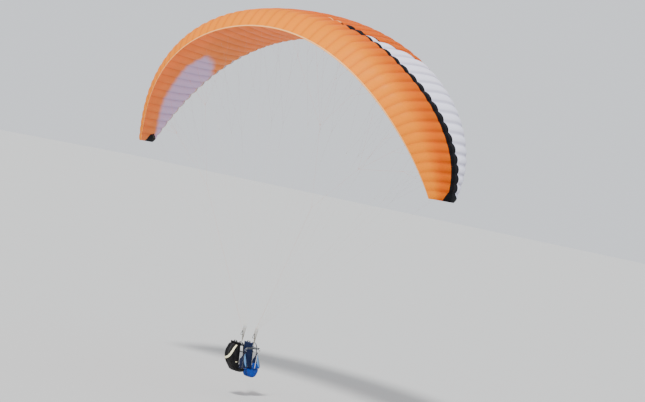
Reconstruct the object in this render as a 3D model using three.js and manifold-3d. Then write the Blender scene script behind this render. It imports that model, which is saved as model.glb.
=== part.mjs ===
// A tandem paraglider as it is flown: a ram-air canopy of 50 open cells, its
// lines, two sets of risers, two spreader bars and two harnesses.
// Millimetres. +X is the direction of flight, +Y the pilot's left, +Z up.
// The origin is on the canopy's lower skin at its centre rib, 30% of the chord
// behind the leading edge, where the wing's lift acts.
import * as THREE from "three";
import { mergeVertices } from "three/addons/utils/BufferGeometryUtils.js";
import Module from "manifold-3d";

const wasm = await Module();
wasm.setup();

// Driving dimensions of the canopy
const HALF_SPAN = 7500; // half the span of the wing laid flat
const ROOT_CHORD = 3330;
const TIP_CHORD_RATIO = 0.245;
const CHORD_POWER = 3.1;
const TIP_SWEEP = 968; // how far the tip's leading edge lies behind the centre's
const SWEEP_POWER = 4.5;
const ARC_TIP_ANGLE = 85.7; // slope of the wing at its tips, degrees
const ARC_LINEAR_SHARE = 0.724; // the rest of the slope grows with the cube of the span
const TIP_TWIST = 12.6; // degrees nose up, about the lift point of each rib
const THICKNESS = 0.168; // of the chord
const CAMBER = 0.03; // of the chord
const CAMBER_PLACE = 0.25;
const LIFT_PLACE = 0.3; // share of the chord
const BRAKE_HINGE = 0.85; // the pulled brakes bend the rib behind this share of the chord
const BRAKE_DROP = 0.131; // of the chord, at the trailing edge
const BRAKE_CURVE = 1.6; // the power with which the bend grows
const CELLS = 25; // on each half
const CELLS_PER_SECTION = 5;
const TIP_CELL_NARROWING = 0.12;
const CELL_BULGE = 0.13; // of the cell's width
const FLAT_TAIL = 0.3; // the bulge dies out over this last share of the chord
const TRAILING_THICKNESS = 6;
const SKIN = 2.5;
const RIB = 2; // each side of a seam
const INLET_DEPTH = 18; // how far an inlet is cut in behind the skin
const SEAM_GAP = 0.15; // each side of the joint between two sections

// Driving dimensions of the lines and risers
const LINE_DROP = 9200; // from the centre rib's chord line down to the spreader bars' pivots
const HANG_BACK = 336; // how far the pivots lie behind the origin
const HANG_HALF_WIDTH = 220; // from the middle to each riser
const LINE_RADIUS = 1.25;
const RISER_LENGTH = 520;
const RISER_WIDTH = 22;
const RISER_THICKNESS = 3;
const MAIN_SPACING = 6; // between the lines on one shackle
const EYE_LENGTH = 40; // the sewn eye below each fork
const END_GAP = 0.35; // between a line's end and what it is sewn or hooked to

// Driving dimensions of the spreader bars and carabiners
const BAR_REACH = 290; // from the riser's hole to each harness's hole
const BAR_DROP = 30;
const BAR_HALF_HEIGHT = 22;
const BAR_THICKNESS = 8;
const ROD_RADIUS = 5;
const PIN_CLEARANCE = 0.4;
const CARABINER_HEIGHT = 90; // between the middles of its two end bars
const CARABINER_HALF_WIDTH = 26;
const CARABINER_CORNER = 12;
const LOOP_WALL = 3.5;
const LOOP_WIDTH = 24;
const BAR_CREST = 28; // the flat above its middle hole

// Driving dimensions of the shackles and brake handles
const RISER_SPREAD = 0.8; // the power with which the risers part on their way up
const SHACKLE_HALF_WIDTH = 14;
const SHACKLE_HEIGHT = 36;
const SHACKLE_WALL = 5;
const SHACKLE_THICKNESS = 6;
const HANDLE_DROP = 120; // from the shackles' tops to the handles' tops
const HANDLE_BEHIND = 22; // the brake handle hangs this far behind the rear riser's head
const HANDLE_THICKNESS = 14;
const HANDLE_NECK = 12;
const HANDLE_WIDTH = 92;
const HANDLE_HEIGHT = 140;
const HANDLE_CORNER = 20;
const HANDLE_HOLE_TOP = 22;
const CLIP_SIZE = 11; // the clip that keeps the handle on the rear riser
const CLIP_DROP = 14;
const CLIP_OVERLAP = 12;

// Driving dimensions of the harnesses, heights counted from their pivots
const SEAT_TOP = -530;
const SEAT_THICKNESS = 60;
const SEAT_FRONT = 265;
const SEAT_REAR = -110;
const BACK_HEIGHT = 680; // above the seat's top
const BACK_BEND = 60; // above the seat's top, where the back starts to lean
const BACK_THICKNESS = 45;
const BACK_LEAN = 0.16;
const BAG_ROUNDING = 70;
const SOFT_GAP = 0.4;
const SIDE_STRAP = 28;
const SIDE_THICKNESS = 8;
const STRAP_TAB = 60; // how far the carrying strap runs down onto the side panel
const SHOULDER_WIDTH = 40;
const SHOULDER_THICKNESS = 8;
const CHEST_WIDTH = 25;
const LEG_WIDTH = 30;
const STRAP_THICKNESS = 5;

const colours = {
  cloth: 0xf08a30,
  line: 0xd8d4cc,
  webbing: 0x1c1d20,
  alloy: 0x9aa0a8,
  black: 0x202126,
  blue: 0x2b66c8,
  navy: 0x1d3563,
};
const materials = Object.fromEntries(
  Object.entries(colours).map(([name, color]) => [
    name,
    new THREE.MeshStandardMaterial({
      color,
      roughness: name === "alloy" ? 0.35 : 0.8,
      metalness: name === "alloy" ? 0.9 : 0,
    }),
  ]),
);

// Solids and meshes

function toSolid(geometry) {
  const bare = geometry.clone();
  bare.deleteAttribute("normal");
  bare.deleteAttribute("uv");
  const merged = mergeVertices(bare, 1e-4);
  return new wasm.Manifold(
    new wasm.Mesh({
      numProp: 3,
      vertProperties: new Float32Array(merged.attributes.position.array),
      triVerts: new Uint32Array(merged.index.array),
    }),
  );
}

function toGeometry(solid) {
  const { vertProperties, triVerts } = solid.getMesh();
  const geometry = new THREE.BufferGeometry();
  geometry.setAttribute("position", new THREE.BufferAttribute(vertProperties, 3));
  geometry.setIndex(new THREE.BufferAttribute(triVerts, 1));
  geometry.computeVertexNormals();
  return geometry;
}

const join = (solids) => solids.reduce((whole, piece) => whole.add(piece));

const model = new THREE.Group();

function addPiece(name, solid, material) {
  const mesh = new THREE.Mesh(toGeometry(solid), materials[material]);
  mesh.name = name;
  model.add(mesh);
}

// A closed loft through rings of points; outline gives the ring's shape for its end caps
function loft(rings, outline) {
  const count = outline.length;
  const position = rings.flatMap((ring) => ring.flatMap((point) => point.toArray()));
  const index = [];
  for (let ring = 0; ring + 1 < rings.length; ring += 1) {
    for (let k = 0; k < count; k += 1) {
      const next = (k + 1) % count;
      const [a, b] = [ring * count + k, ring * count + next];
      index.push(a, b, a + count, b, b + count, a + count);
    }
  }
  const last = (rings.length - 1) * count;
  const turn = Math.sign(THREE.ShapeUtils.area(outline));
  for (const triangle of THREE.ShapeUtils.triangulateShape(outline, [])) {
    const corners = triangle.map((k) => outline[k]);
    const [a, b, c] =
      Math.sign(THREE.ShapeUtils.area(corners)) === turn ? triangle : triangle.toReversed();
    index.push(a, c, b, last + a, last + b, last + c);
  }
  const geometry = new THREE.BufferGeometry();
  geometry.setAttribute("position", new THREE.BufferAttribute(new Float32Array(position), 3));
  geometry.setIndex(signedVolume(position, index) > 0 ? index : flipped(index));
  return toSolid(geometry);
}

function signedVolume(position, index) {
  const corner = (i) => new THREE.Vector3().fromArray(position, 3 * i);
  let volume = 0;
  for (let i = 0; i < index.length; i += 3) {
    const [a, b, c] = [corner(index[i]), corner(index[i + 1]), corner(index[i + 2])];
    volume += a.dot(b.cross(c));
  }
  return volume;
}

function flipped(index) {
  const turned = index.slice();
  for (let i = 0; i < index.length; i += 3) {
    [turned[i + 1], turned[i + 2]] = [index[i + 2], index[i + 1]];
  }
  return turned;
}

// A closed frame of round rod through corners, mitred at each
function rodFrame(corners, radius, sides) {
  const position = [];
  const index = [];
  const count = corners.length;
  corners.forEach((corner, k) => {
    const before = corner.clone().sub(corners[(k + count - 1) % count]).normalize();
    const after = corners[(k + 1) % count].clone().sub(corner).normalize();
    const along = before.clone().add(after).normalize();
    const normal = before.clone().cross(after).normalize();
    const inward = normal.clone().cross(along).normalize();
    const stretch = 1 / before.dot(along);
    for (let j = 0; j < sides; j += 1) {
      const turn = ((j + 0.5) / sides) * 2 * Math.PI;
      const point = corner
        .clone()
        .addScaledVector(inward, radius * Math.cos(turn) * stretch)
        .addScaledVector(normal, radius * Math.sin(turn));
      position.push(...point.toArray());
      const [a, b] = [k * sides + j, k * sides + ((j + 1) % sides)];
      const [c, d] = [a, b].map((i) => (i + sides) % (count * sides));
      index.push(a, b, c, b, d, c);
    }
  });
  const geometry = new THREE.BufferGeometry();
  geometry.setAttribute("position", new THREE.BufferAttribute(new Float32Array(position), 3));
  geometry.setIndex(signedVolume(position, index) > 0 ? index : flipped(index));
  return toSolid(geometry);
}

// A flat piece cut from an outline in the X-Z plane, from one side y to the other
function plate(shape, low, high, curveSegments = 3) {
  const geometry = new THREE.ExtrudeGeometry(shape, {
    depth: high - low,
    bevelEnabled: false,
    curveSegments,
  });
  geometry.rotateX(Math.PI / 2);
  geometry.translate(0, high, 0);
  return toSolid(geometry);
}

// A band of webbing along a route; across gives the direction of its width
function band(route, width, thickness, across) {
  const curve = new THREE.CatmullRomCurve3(route, false, "centripetal");
  const steps = 3 * (route.length - 1);
  const rings = [];
  for (let i = 0; i <= steps; i += 1) {
    const middle = curve.getPoint(i / steps);
    const along = curve.getTangent(i / steps);
    const side = across.clone().addScaledVector(along, -across.dot(along)).normalize();
    const face = along.clone().cross(side).normalize();
    const corner = (a, b) =>
      middle.clone().addScaledVector(side, (a * width) / 2).addScaledVector(face, (b * thickness) / 2);
    rings.push([corner(-1, -1), corner(1, -1), corner(1, 1), corner(-1, 1)]);
  }
  return loft(rings, [[-1, -1], [1, -1], [1, 1], [-1, 1]].map(([x, y]) => new THREE.Vector2(x, y)));
}

// A soft block: plates of one outline, rounded off towards both sides. Each row of the
// outline is forward, up, and how much the sides are drawn in there, 1 where it isn't given.
function cushion(outline, halfWidth, edge, centre, steps = 1) {
  const flat = outline.map(([forward, up]) => new THREE.Vector2(forward, up));
  const turn = Math.sign(THREE.ShapeUtils.area(flat));
  const inward = flat.map((_, k) => {
    const after = flat[(k + 1) % flat.length];
    const along = after.clone().sub(flat.at(k - 1)).normalize();
    return new THREE.Vector2(-along.y, along.x).multiplyScalar(turn);
  });
  const ring = (y, inset) =>
    flat.map((point, k) => {
      const drawn = point.clone().addScaledVector(inward[k], inset * (outline[k][2] ?? 1));
      return new THREE.Vector3(drawn.x, y, drawn.y).add(centre);
    });
  const edges = Array.from({ length: steps + 1 }, (_, k) => {
    const angle = (k / steps) * (Math.PI / 2);
    return [halfWidth - edge * (1 - Math.cos(angle)), edge * (1 - Math.sin(angle))];
  });
  const right = edges.map(([y, inset]) => ring(-y, inset));
  const left = edges.map(([y, inset]) => ring(y, inset)).toReversed();
  return loft([...right, ...left], flat);
}

// Canopy

// Where each ring point of a rib lies: share of the chord, then upper or lower skin
const RIB_POINTS = [
  [1, "upper"], [0.92, "upper"], [0.85, "upper"], [0.68, "upper"], [0.48, "upper"],
  [0.31, "upper"], [0.18, "upper"], [0.08, "upper"], [0.018, "upper"], [0, "nose"],
  [0.016, "lower"], [0.055, "lower"], [0.11, "lower"], [0.33, "lower"], [0.58, "lower"],
  [0.85, "lower"], [0.92, "lower"], [1, "lower"],
];
const HOLLOW_FIRST = 1; // the ring points between which a cell is hollow
const HOLLOW_LAST = 16;
const INLET_EDGES = [10, 11]; // the ring points above and below the air inlet
const ROWS = { a: 12, b: 13, c: 14, brake: 17 }; // the ring point that each row of lines holds

function ribHeight(share, skin) {
  const half =
    5 * THICKNESS *
    (0.2969 * Math.sqrt(share) - 0.126 * share - 0.3516 * share ** 2 + 0.2843 * share ** 3 -
      0.1036 * share ** 4);
  const camber =
    share < CAMBER_PLACE
      ? (CAMBER / CAMBER_PLACE ** 2) * (2 * CAMBER_PLACE * share - share ** 2)
      : (CAMBER / (1 - CAMBER_PLACE) ** 2) *
        (1 - 2 * CAMBER_PLACE + 2 * CAMBER_PLACE * share - share ** 2);
  const bend = Math.max(0, (share - BRAKE_HINGE) / (1 - BRAKE_HINGE)) ** BRAKE_CURVE;
  const side = { upper: 1, nose: 0, lower: -1 }[skin];
  return camber + side * half - BRAKE_DROP * bend;
}

// The rib's outline in its own plane, in millimetres, blown out by bulge and shrunk by inset
function ribOutline(chord, bulge, inset) {
  const points = RIB_POINTS.map(([share, skin]) => {
    const edge = share === 1 ? (skin === "upper" ? 0.5 : -0.5) * TRAILING_THICKNESS : 0;
    return new THREE.Vector2((LIFT_PLACE - share) * chord, ribHeight(share, skin) * chord + edge);
  });
  return points.map((point, k) => {
    const before = points[Math.max(k - 1, 0)];
    const after = points[Math.min(k + 1, points.length - 1)];
    const along = after.clone().sub(before).normalize();
    const share = RIB_POINTS[k][0];
    const swell = bulge * Math.min(1, (1 - share) / FLAT_TAIL) ** 0.7;
    return point.clone().addScaledVector(new THREE.Vector2(-along.y, along.x), swell - inset);
  });
}

// The slope of the wing at a share of the half span, signed by side
function slopeAt(share) {
  const reach = Math.abs(share);
  const slope = ARC_LINEAR_SHARE * reach + (1 - ARC_LINEAR_SHARE) * reach ** 3;
  return THREE.MathUtils.degToRad(ARC_TIP_ANGLE) * slope * Math.sign(share);
}

const ARC_STEPS = 200;
const arc = [new THREE.Vector2()];
for (let i = 0; i < ARC_STEPS; i += 1) {
  const slope = slopeAt((i + 0.5) / ARC_STEPS);
  const step = new THREE.Vector2(Math.cos(slope), -Math.sin(slope)).multiplyScalar(HALF_SPAN / ARC_STEPS);
  arc.push(arc[i].clone().add(step));
}

function arcAt(share) {
  const reach = Math.min(Math.abs(share), 1) * ARC_STEPS;
  const low = Math.min(Math.floor(reach), ARC_STEPS - 1);
  const point = arc[low].clone().lerp(arc[low + 1], reach - low);
  return new THREE.Vector2(point.x * Math.sign(share), point.y);
}

const ORIGIN_HEIGHT = -ribHeight(LIFT_PLACE, "lower") * ROOT_CHORD;
const chordAt = (share) => ROOT_CHORD * (1 - (1 - TIP_CHORD_RATIO) * Math.abs(share) ** CHORD_POWER);

// A point of a rib's own plane placed in the wing
function place(share, point) {
  const reach = Math.abs(share);
  const slope = slopeAt(share);
  const twist = THREE.MathUtils.degToRad(TIP_TWIST) * reach ** 2;
  const forward = point.x * Math.cos(twist) - point.y * Math.sin(twist);
  const outward = point.y * Math.cos(twist) + point.x * Math.sin(twist);
  const chordLine =
    LIFT_PLACE * (ROOT_CHORD - chordAt(share)) - TIP_SWEEP * reach ** SWEEP_POWER;
  const { x: across, y: height } = arcAt(share);
  return new THREE.Vector3(
    chordLine + forward,
    across + outward * Math.sin(slope),
    ORIGIN_HEIGHT + height + outward * Math.cos(slope),
  );
}

// The share of the half span at which a seam lies; the cells narrow towards the tip
function seamShare(seam) {
  const u = seam / CELLS;
  return u * (1 + TIP_CELL_NARROWING) - TIP_CELL_NARROWING * u ** 3;
}

const seamWidth = (cell) => (seamShare(cell + 1) - seamShare(cell)) * HALF_SPAN;

function cellRing(side, share, bulge, inset, first = 0, last = RIB_POINTS.length - 1) {
  const outline = ribOutline(chordAt(share), bulge, inset).slice(first, last + 1);
  return outline.map((point) => place(side * share, point));
}

function cellHollow(side, cell) {
  const bulge = CELL_BULGE * seamWidth(cell);
  const step = RIB / HALF_SPAN;
  const [near, far] = [seamShare(cell) + step, seamShare(cell + 1) - step];
  const middle = (near + far) / 2;
  const outline = ribOutline(ROOT_CHORD, 0, SKIN).slice(HOLLOW_FIRST, HOLLOW_LAST + 1);
  const chamber = loft(
    [[near, 0], [middle, bulge], [far, 0]].map(([share, swell]) =>
      cellRing(side, share, swell, SKIN, HOLLOW_FIRST, HOLLOW_LAST),
    ),
    outline,
  );
  const inletRing = (share) => {
    const outer = ribOutline(chordAt(share), 0, -bulge - 2 * SKIN);
    const inner = ribOutline(chordAt(share), 0, INLET_DEPTH);
    const [top, bottom] = INLET_EDGES;
    return [outer[top], outer[bottom], inner[bottom], inner[top]];
  };
  const inlet = loft(
    [near + 2 * step, far - 2 * step].map((share) =>
      inletRing(share).map((point) => place(side * share, point)),
    ),
    inletRing(middle),
  );
  return chamber.add(inlet);
}

function canopySection(side, firstCell) {
  const rings = [];
  const lastSeam = firstCell + CELLS_PER_SECTION;
  for (let seam = firstCell; seam <= lastSeam; seam += 1) {
    const edge = seam === firstCell ? SEAM_GAP : seam === lastSeam && seam < CELLS ? -SEAM_GAP : 0;
    rings.push(cellRing(side, seamShare(seam) + edge / HALF_SPAN, 0, 0));
    if (seam < lastSeam) {
      const middle = (seamShare(seam) + seamShare(seam + 1)) / 2;
      rings.push(cellRing(side, middle, CELL_BULGE * seamWidth(seam), 0));
    }
  }
  let section = loft(rings, ribOutline(ROOT_CHORD, 0, 0));
  for (let cell = firstCell; cell < Math.min(lastSeam, CELLS - 1); cell += 1) {
    section = section.subtract(cellHollow(side, cell));
  }
  return section;
}

const sides = { left: 1, right: -1 };
for (const [sideName, side] of Object.entries(sides)) {
  for (let k = 0; k * CELLS_PER_SECTION < CELLS; k += 1) {
    addPiece(`canopy_${sideName}_${k + 1}`, canopySection(side, k * CELLS_PER_SECTION), "cloth");
  }
}

// Lines

const hang = new THREE.Vector3(-HANG_BACK, 0, ORIGIN_HEIGHT - LINE_DROP);
const shackleX = { a: 60, b: 5, c: -50 }; // forward of the pivots
const shackleTop = hang.z + RISER_LENGTH;
const handleTop = shackleTop - HANDLE_DROP;
const UPPER_FORK = 0.55; // where the brake lines fork again, between their first fork and the skin

// Each line: row, index, the seams that its branches hold, and where it forks on its way up
const LINE_TABLE = [
  ["a", 1, [1, 4, 6], 0.7], ["a", 2, [8, 11, 13], 0.7], ["a", 3, [16, 18, 21], 0.7],
  ["b", 1, [1, 4, 6], 0.7], ["b", 2, [8, 11, 13], 0.7], ["b", 3, [16, 18, 21], 0.7],
  ["c", 1, [1, 4, 6], 0.7], ["c", 2, [8, 11, 13], 0.7], ["c", 3, [16, 18, 21], 0.7],
  ["tip", 4, [23, 24], 0.86], ["brake", 0, [3, 6, 9, 12, 14, 17, 19, 22], 0.55],
];

function seamPoint(side, seam, row) {
  const share = seamShare(seam);
  const ringPoint = ROWS[row === "tip" ? "b" : row];
  return place(side * share, ribOutline(chordAt(share), 0, 0)[ringPoint]);
}

// The point just short of a face, so that a line's end lies END_GAP from it
function shortOf(face, from, slant) {
  const along = from.clone().sub(face).normalize();
  return face.clone().addScaledVector(along, END_GAP + LINE_RADIUS * slant);
}

function lineTree(side, row, index, seams, fork) {
  const tops = seams.map((seam) => seamPoint(side, seam, row));
  const middle = tops.reduce((sum, p) => sum.add(p), new THREE.Vector3()).divideScalar(tops.length);
  const shackle = row === "tip" ? "b" : row;
  const foot =
    row === "brake"
      ? new THREE.Vector3(hang.x + shackleX.c - HANDLE_BEHIND, side * HANG_HALF_WIDTH, handleTop)
      : new THREE.Vector3(
          hang.x + shackleX[shackle],
          side * (HANG_HALF_WIDTH + (index - 2.5) * MAIN_SPACING),
          shackleTop,
        );
  const along = middle.clone().sub(foot).normalize();
  const lean = Math.hypot(along.x, along.y) / along.z;
  const start = foot.clone().addScaledVector(along, (END_GAP + LINE_RADIUS * lean) / along.z);
  const knot = foot.clone().lerp(middle, fork);
  const leaves = (points, from) => points.map((point) => ({ point: shortOf(point, from, 0.8) }));
  if (row !== "brake") return forkedLine(side, start, { point: knot, children: leaves(tops, knot) });
  const children = [tops.slice(0, 4), tops.slice(4)].map((group) => {
    const centre = group.reduce((sum, p) => sum.add(p), new THREE.Vector3()).divideScalar(4);
    const point = knot.clone().lerp(centre, UPPER_FORK);
    return { point, children: leaves(group, point) };
  });
  return forkedLine(side, start, { point: knot, children });
}

// A line of square section that forks, as one closed surface. At a fork it widens into a
// sewn eye as wide as its branches, which leave it side by side.
function forkedLine(side, start, top) {
  const along = top.point.clone().sub(start).normalize();
  const across = new THREE.Vector3(0, side, 0);
  across.addScaledVector(along, -across.dot(along)).normalize();
  const face = along.clone().cross(across);
  const position = [];
  const index = [];
  const corner = (centre, a, b) => {
    const point = centre.clone().addScaledVector(across, a * LINE_RADIUS);
    position.push(...point.addScaledVector(face, b * LINE_RADIUS).toArray());
    return position.length / 3 - 1;
  };
  const ring = (centre) => [[-1, -1], [1, -1], [1, 1], [-1, 1]].map(([a, b]) => corner(centre, a, b));
  const quad = (a, b, c, d) => index.push(a, b, c, a, c, d);
  const tube = (low, high) => {
    low.forEach((a, k) => quad(a, low[(k + 1) % 4], high[(k + 1) % 4], high[k]));
  };
  const grow = (low, { point, children }) => {
    if (!children) {
      const end = ring(point);
      tube(low, end);
      quad(...end);
      return;
    }
    const neck = ring(point.clone().addScaledVector(along, -EYE_LENGTH));
    tube(low, neck);
    const count = children.length;
    const row = [-1, 1].map((b) =>
      Array.from({ length: count + 1 }, (_, k) => corner(point, 2 * k - count, b)),
    );
    const [front, back] = row;
    quad(neck[3], neck[0], front[0], back[0]);
    quad(neck[1], neck[2], back[count], front[count]);
    index.push(neck[0], neck[1], front[count], neck[2], neck[3], back[0]);
    for (let k = 0; k < count; k += 1) {
      index.push(neck[0], front[k + 1], front[k], neck[2], back[k], back[k + 1]);
      grow([front[k], front[k + 1], back[k + 1], back[k]], children[k]);
    }
  };
  const foot = ring(start);
  quad(...foot.toReversed());
  grow(foot, top);
  const geometry = new THREE.BufferGeometry();
  geometry.setAttribute("position", new THREE.BufferAttribute(new Float32Array(position), 3));
  geometry.setIndex(signedVolume(position, index) > 0 ? index : flipped(index));
  return toSolid(geometry);
}

for (const [sideName, side] of Object.entries(sides)) {
  for (const [row, index, seams, fork] of LINE_TABLE) {
    const name = { tip: "line_tip", brake: "line_brake" }[row] ?? `line_${row}${index}`;
    addPiece(`${name}_${sideName}`, lineTree(side, row, index, seams, fork), "line");
  }
}

// Risers, brake handles, carabiners and spreader bars

const loopInner = ROD_RADIUS + PIN_CLEARANCE;
const loopOuter = loopInner + LOOP_WALL;
const flatShape = (corners) => new THREE.Shape(corners.map(([u, v]) => new THREE.Vector2(u, v)));
const flatHole = (corners) => new THREE.Path(corners.map(([u, v]) => new THREE.Vector2(u, v)));

// A closed frame of round rod in the Y-Z plane, between two end bars along Y
function carabiner(x, y, top) {
  const bottom = top - CARABINER_HEIGHT;
  const outer = CARABINER_HALF_WIDTH;
  const flat = outer - CARABINER_CORNER;
  const corners = [
    [-flat, top], [flat, top], [outer, top - CARABINER_CORNER], [outer, bottom + CARABINER_CORNER],
    [flat, bottom], [-flat, bottom], [-outer, bottom + CARABINER_CORNER], [-outer, top - CARABINER_CORNER],
  ].map(([across, z]) => new THREE.Vector3(x, y + across, z));
  return rodFrame(corners, ROD_RADIUS, 8);
}

function webbingLoop(x, y, z) {
  const shape = new THREE.Shape();
  shape.absarc(0, 0, loopOuter, 0, 2 * Math.PI, false);
  const hole = new THREE.Path();
  hole.absarc(0, 0, loopInner, 0, 2 * Math.PI, true);
  shape.holes.push(hole);
  return plate(shape, -LOOP_WIDTH / 2, LOOP_WIDTH / 2, 8).translate([x, y, z]);
}

// A plate cut from an outline in the Y-Z plane, with its middle at x
function crossPlate(shape, thickness, x, y, z) {
  const geometry = new THREE.ExtrudeGeometry(shape, { depth: thickness, bevelEnabled: false });
  geometry.rotateX(Math.PI / 2);
  geometry.rotateZ(Math.PI / 2);
  geometry.translate(x - thickness / 2, y, z);
  return toSolid(geometry);
}

function shackle(x, y) {
  const [outer, inner] = [SHACKLE_HALF_WIDTH, SHACKLE_HALF_WIDTH - SHACKLE_WALL];
  const [low, high] = [SHACKLE_WALL, SHACKLE_HEIGHT - SHACKLE_WALL];
  const shape = flatShape([[-outer, 0], [outer, 0], [outer, SHACKLE_HEIGHT], [-outer, SHACKLE_HEIGHT]]);
  shape.holes.push(flatHole([[-inner, low], [-inner, high], [inner, high], [inner, low]]));
  return crossPlate(shape, SHACKLE_THICKNESS, x, y, shackleTop - SHACKLE_HEIGHT);
}

function riserSet(side) {
  const y = side * HANG_HALF_WIDTH;
  const base = hang.z + CARABINER_HEIGHT;
  const foot = base + loopInner + 1;
  const head = shackleTop - SHACKLE_HEIGHT + SHACKLE_WALL + 1;
  const pieces = [webbingLoop(hang.x, y, base)];
  for (const reach of Object.values(shackleX)) {
    const start = Math.sign(reach - shackleX.b) * RISER_THICKNESS;
    const route = [0, 0.2, 0.6, 1].map((t) => {
      const x = THREE.MathUtils.lerp(start, reach, t ** RISER_SPREAD);
      return new THREE.Vector3(hang.x + x, y, THREE.MathUtils.lerp(foot, head, t));
    });
    pieces.push(band(route, RISER_WIDTH, RISER_THICKNESS, new THREE.Vector3(0, 1, 0)));
    pieces.push(shackle(hang.x + reach, y));
  }
  const rear = hang.x + shackleX.c;
  const clipFace = rear - HANDLE_BEHIND + HANDLE_THICKNESS / 2 + END_GAP;
  const clipReach = rear + CLIP_OVERLAP;
  const clip = new THREE.BoxGeometry(clipReach - clipFace, CLIP_SIZE, CLIP_SIZE);
  clip.translate((clipReach + clipFace) / 2, y, handleTop - CLIP_DROP);
  pieces.push(toSolid(clip));
  return join(pieces);
}

function brakeHandle(side) {
  const [neck, shoulder, foot] = [HANDLE_NECK / 2, HANDLE_WIDTH / 2, HANDLE_WIDTH / 2 - HANDLE_CORNER];
  const [corner, low] = [HANDLE_CORNER - HANDLE_HEIGHT, -HANDLE_HEIGHT];
  const wall = HANDLE_THICKNESS;
  const shape = flatShape([
    [-neck, 0], [neck, 0], [shoulder, corner], [foot, low], [-foot, low], [-shoulder, corner],
  ]);
  shape.holes.push(flatHole([
    [0, -HANDLE_HOLE_TOP], [wall - shoulder, corner + 0.4 * wall], [wall - foot, low + wall],
    [foot - wall, low + wall], [shoulder - wall, corner + 0.4 * wall],
  ]));
  const x = hang.x + shackleX.c - HANDLE_BEHIND;
  return crossPlate(shape, HANDLE_THICKNESS, x, side * HANG_HALF_WIDTH, handleTop);
}

// A bent bar: its middle hole is on the riser's carabiner, its ends carry the harnesses
function spreaderBar(side) {
  const r = BAR_HALF_HEIGHT;
  const shape = new THREE.Shape();
  shape.absarc(BAR_REACH, -BAR_DROP, r, -Math.PI / 2, Math.PI / 2, false);
  shape.lineTo(BAR_CREST / 2, r);
  shape.lineTo(-BAR_CREST / 2, r);
  shape.absarc(-BAR_REACH, -BAR_DROP, r, Math.PI / 2, (3 * Math.PI) / 2, false);
  for (const [x, z] of [[-BAR_REACH, -BAR_DROP], [0, 0], [BAR_REACH, -BAR_DROP]]) {
    const hole = new THREE.Path();
    hole.absarc(x, z, loopInner, 0, 2 * Math.PI, true);
    shape.holes.push(hole);
  }
  const y = side * HANG_HALF_WIDTH;
  return plate(shape, y - BAR_THICKNESS / 2, y + BAR_THICKNESS / 2, 6).translate([hang.x, 0, hang.z]);
}

for (const [sideName, side] of Object.entries(sides)) {
  const y = side * HANG_HALF_WIDTH;
  addPiece(`riser_${sideName}`, riserSet(side), "webbing");
  addPiece(`brake_handle_${sideName}`, brakeHandle(side), "black");
  addPiece(`main_carabiner_${sideName}`, carabiner(hang.x, y, hang.z + CARABINER_HEIGHT), "alloy");
  addPiece(`spreader_bar_${sideName}`, spreaderBar(side), "alloy");
}

// Harnesses, each from its pivot on the bars: forward, then up

const backFoot = SEAT_REAR - SOFT_GAP;
const backAt = (height) => backFoot - BACK_LEAN * height;
const backRear = (height) => backAt(height) - BACK_THICKNESS;
const underSeat = SEAT_TOP - SEAT_THICKNESS - SOFT_GAP;
const seatOutline = [
  [SEAT_REAR, SEAT_TOP], [SEAT_REAR, SEAT_TOP - SEAT_THICKNESS],
  [SEAT_FRONT - 30, SEAT_TOP - SEAT_THICKNESS], [SEAT_FRONT, SEAT_TOP - 20], [SEAT_FRONT - 20, SEAT_TOP],
];
const backOutline = [
  [backFoot, SEAT_TOP - SEAT_THICKNESS], [backAt(BACK_BEND), SEAT_TOP + BACK_BEND],
  [backAt(BACK_HEIGHT), SEAT_TOP + BACK_HEIGHT], [backRear(BACK_HEIGHT), SEAT_TOP + BACK_HEIGHT],
  [backRear(BACK_BEND), SEAT_TOP + BACK_BEND], [backFoot - BACK_THICKNESS, SEAT_TOP - SEAT_THICKNESS],
];

// The pilot's airbag, from under the thighs round to the shoulders. Where it lies against
// the seat and the back, its sides aren't drawn in.
const airbagOutline = [
  [SEAT_FRONT - 60, underSeat, 0], [backFoot - BACK_THICKNESS - SOFT_GAP, underSeat, 0],
  [backRear(BACK_BEND) - SOFT_GAP, SEAT_TOP + BACK_BEND, 0],
  [backRear(BACK_HEIGHT - 60) - SOFT_GAP, SEAT_TOP + BACK_HEIGHT - 60, 0],
  [-325, 85, 0.6], [-400, 20], [-460, -100], [-470, -240], [-415, -400], [-290, -545, 0.9],
  [-130, -665, 0.7], [60, -705, 0.8], [180, -695, 0.8], [225, -640, 0.6],
];

// The passenger's round airbag under the seat
const underseatOutline = [
  [SEAT_REAR + 5, underSeat, 0], [SEAT_FRONT - 35, underSeat, 0],
  [262, -640, 0.7], [255, -720], [200, -810], [110, -860], [0, -860], [-80, -800],
  [-125, -710], [-125, -640, 0.7],
];

const HARNESSES = [
  { name: "pilot", x: -BAR_REACH, half: 190, bag: airbagOutline, cloth: "black", seat: "navy" },
  { name: "passenger", x: BAR_REACH, half: 180, bag: underseatOutline, cloth: "navy", seat: "blue" },
];

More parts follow.
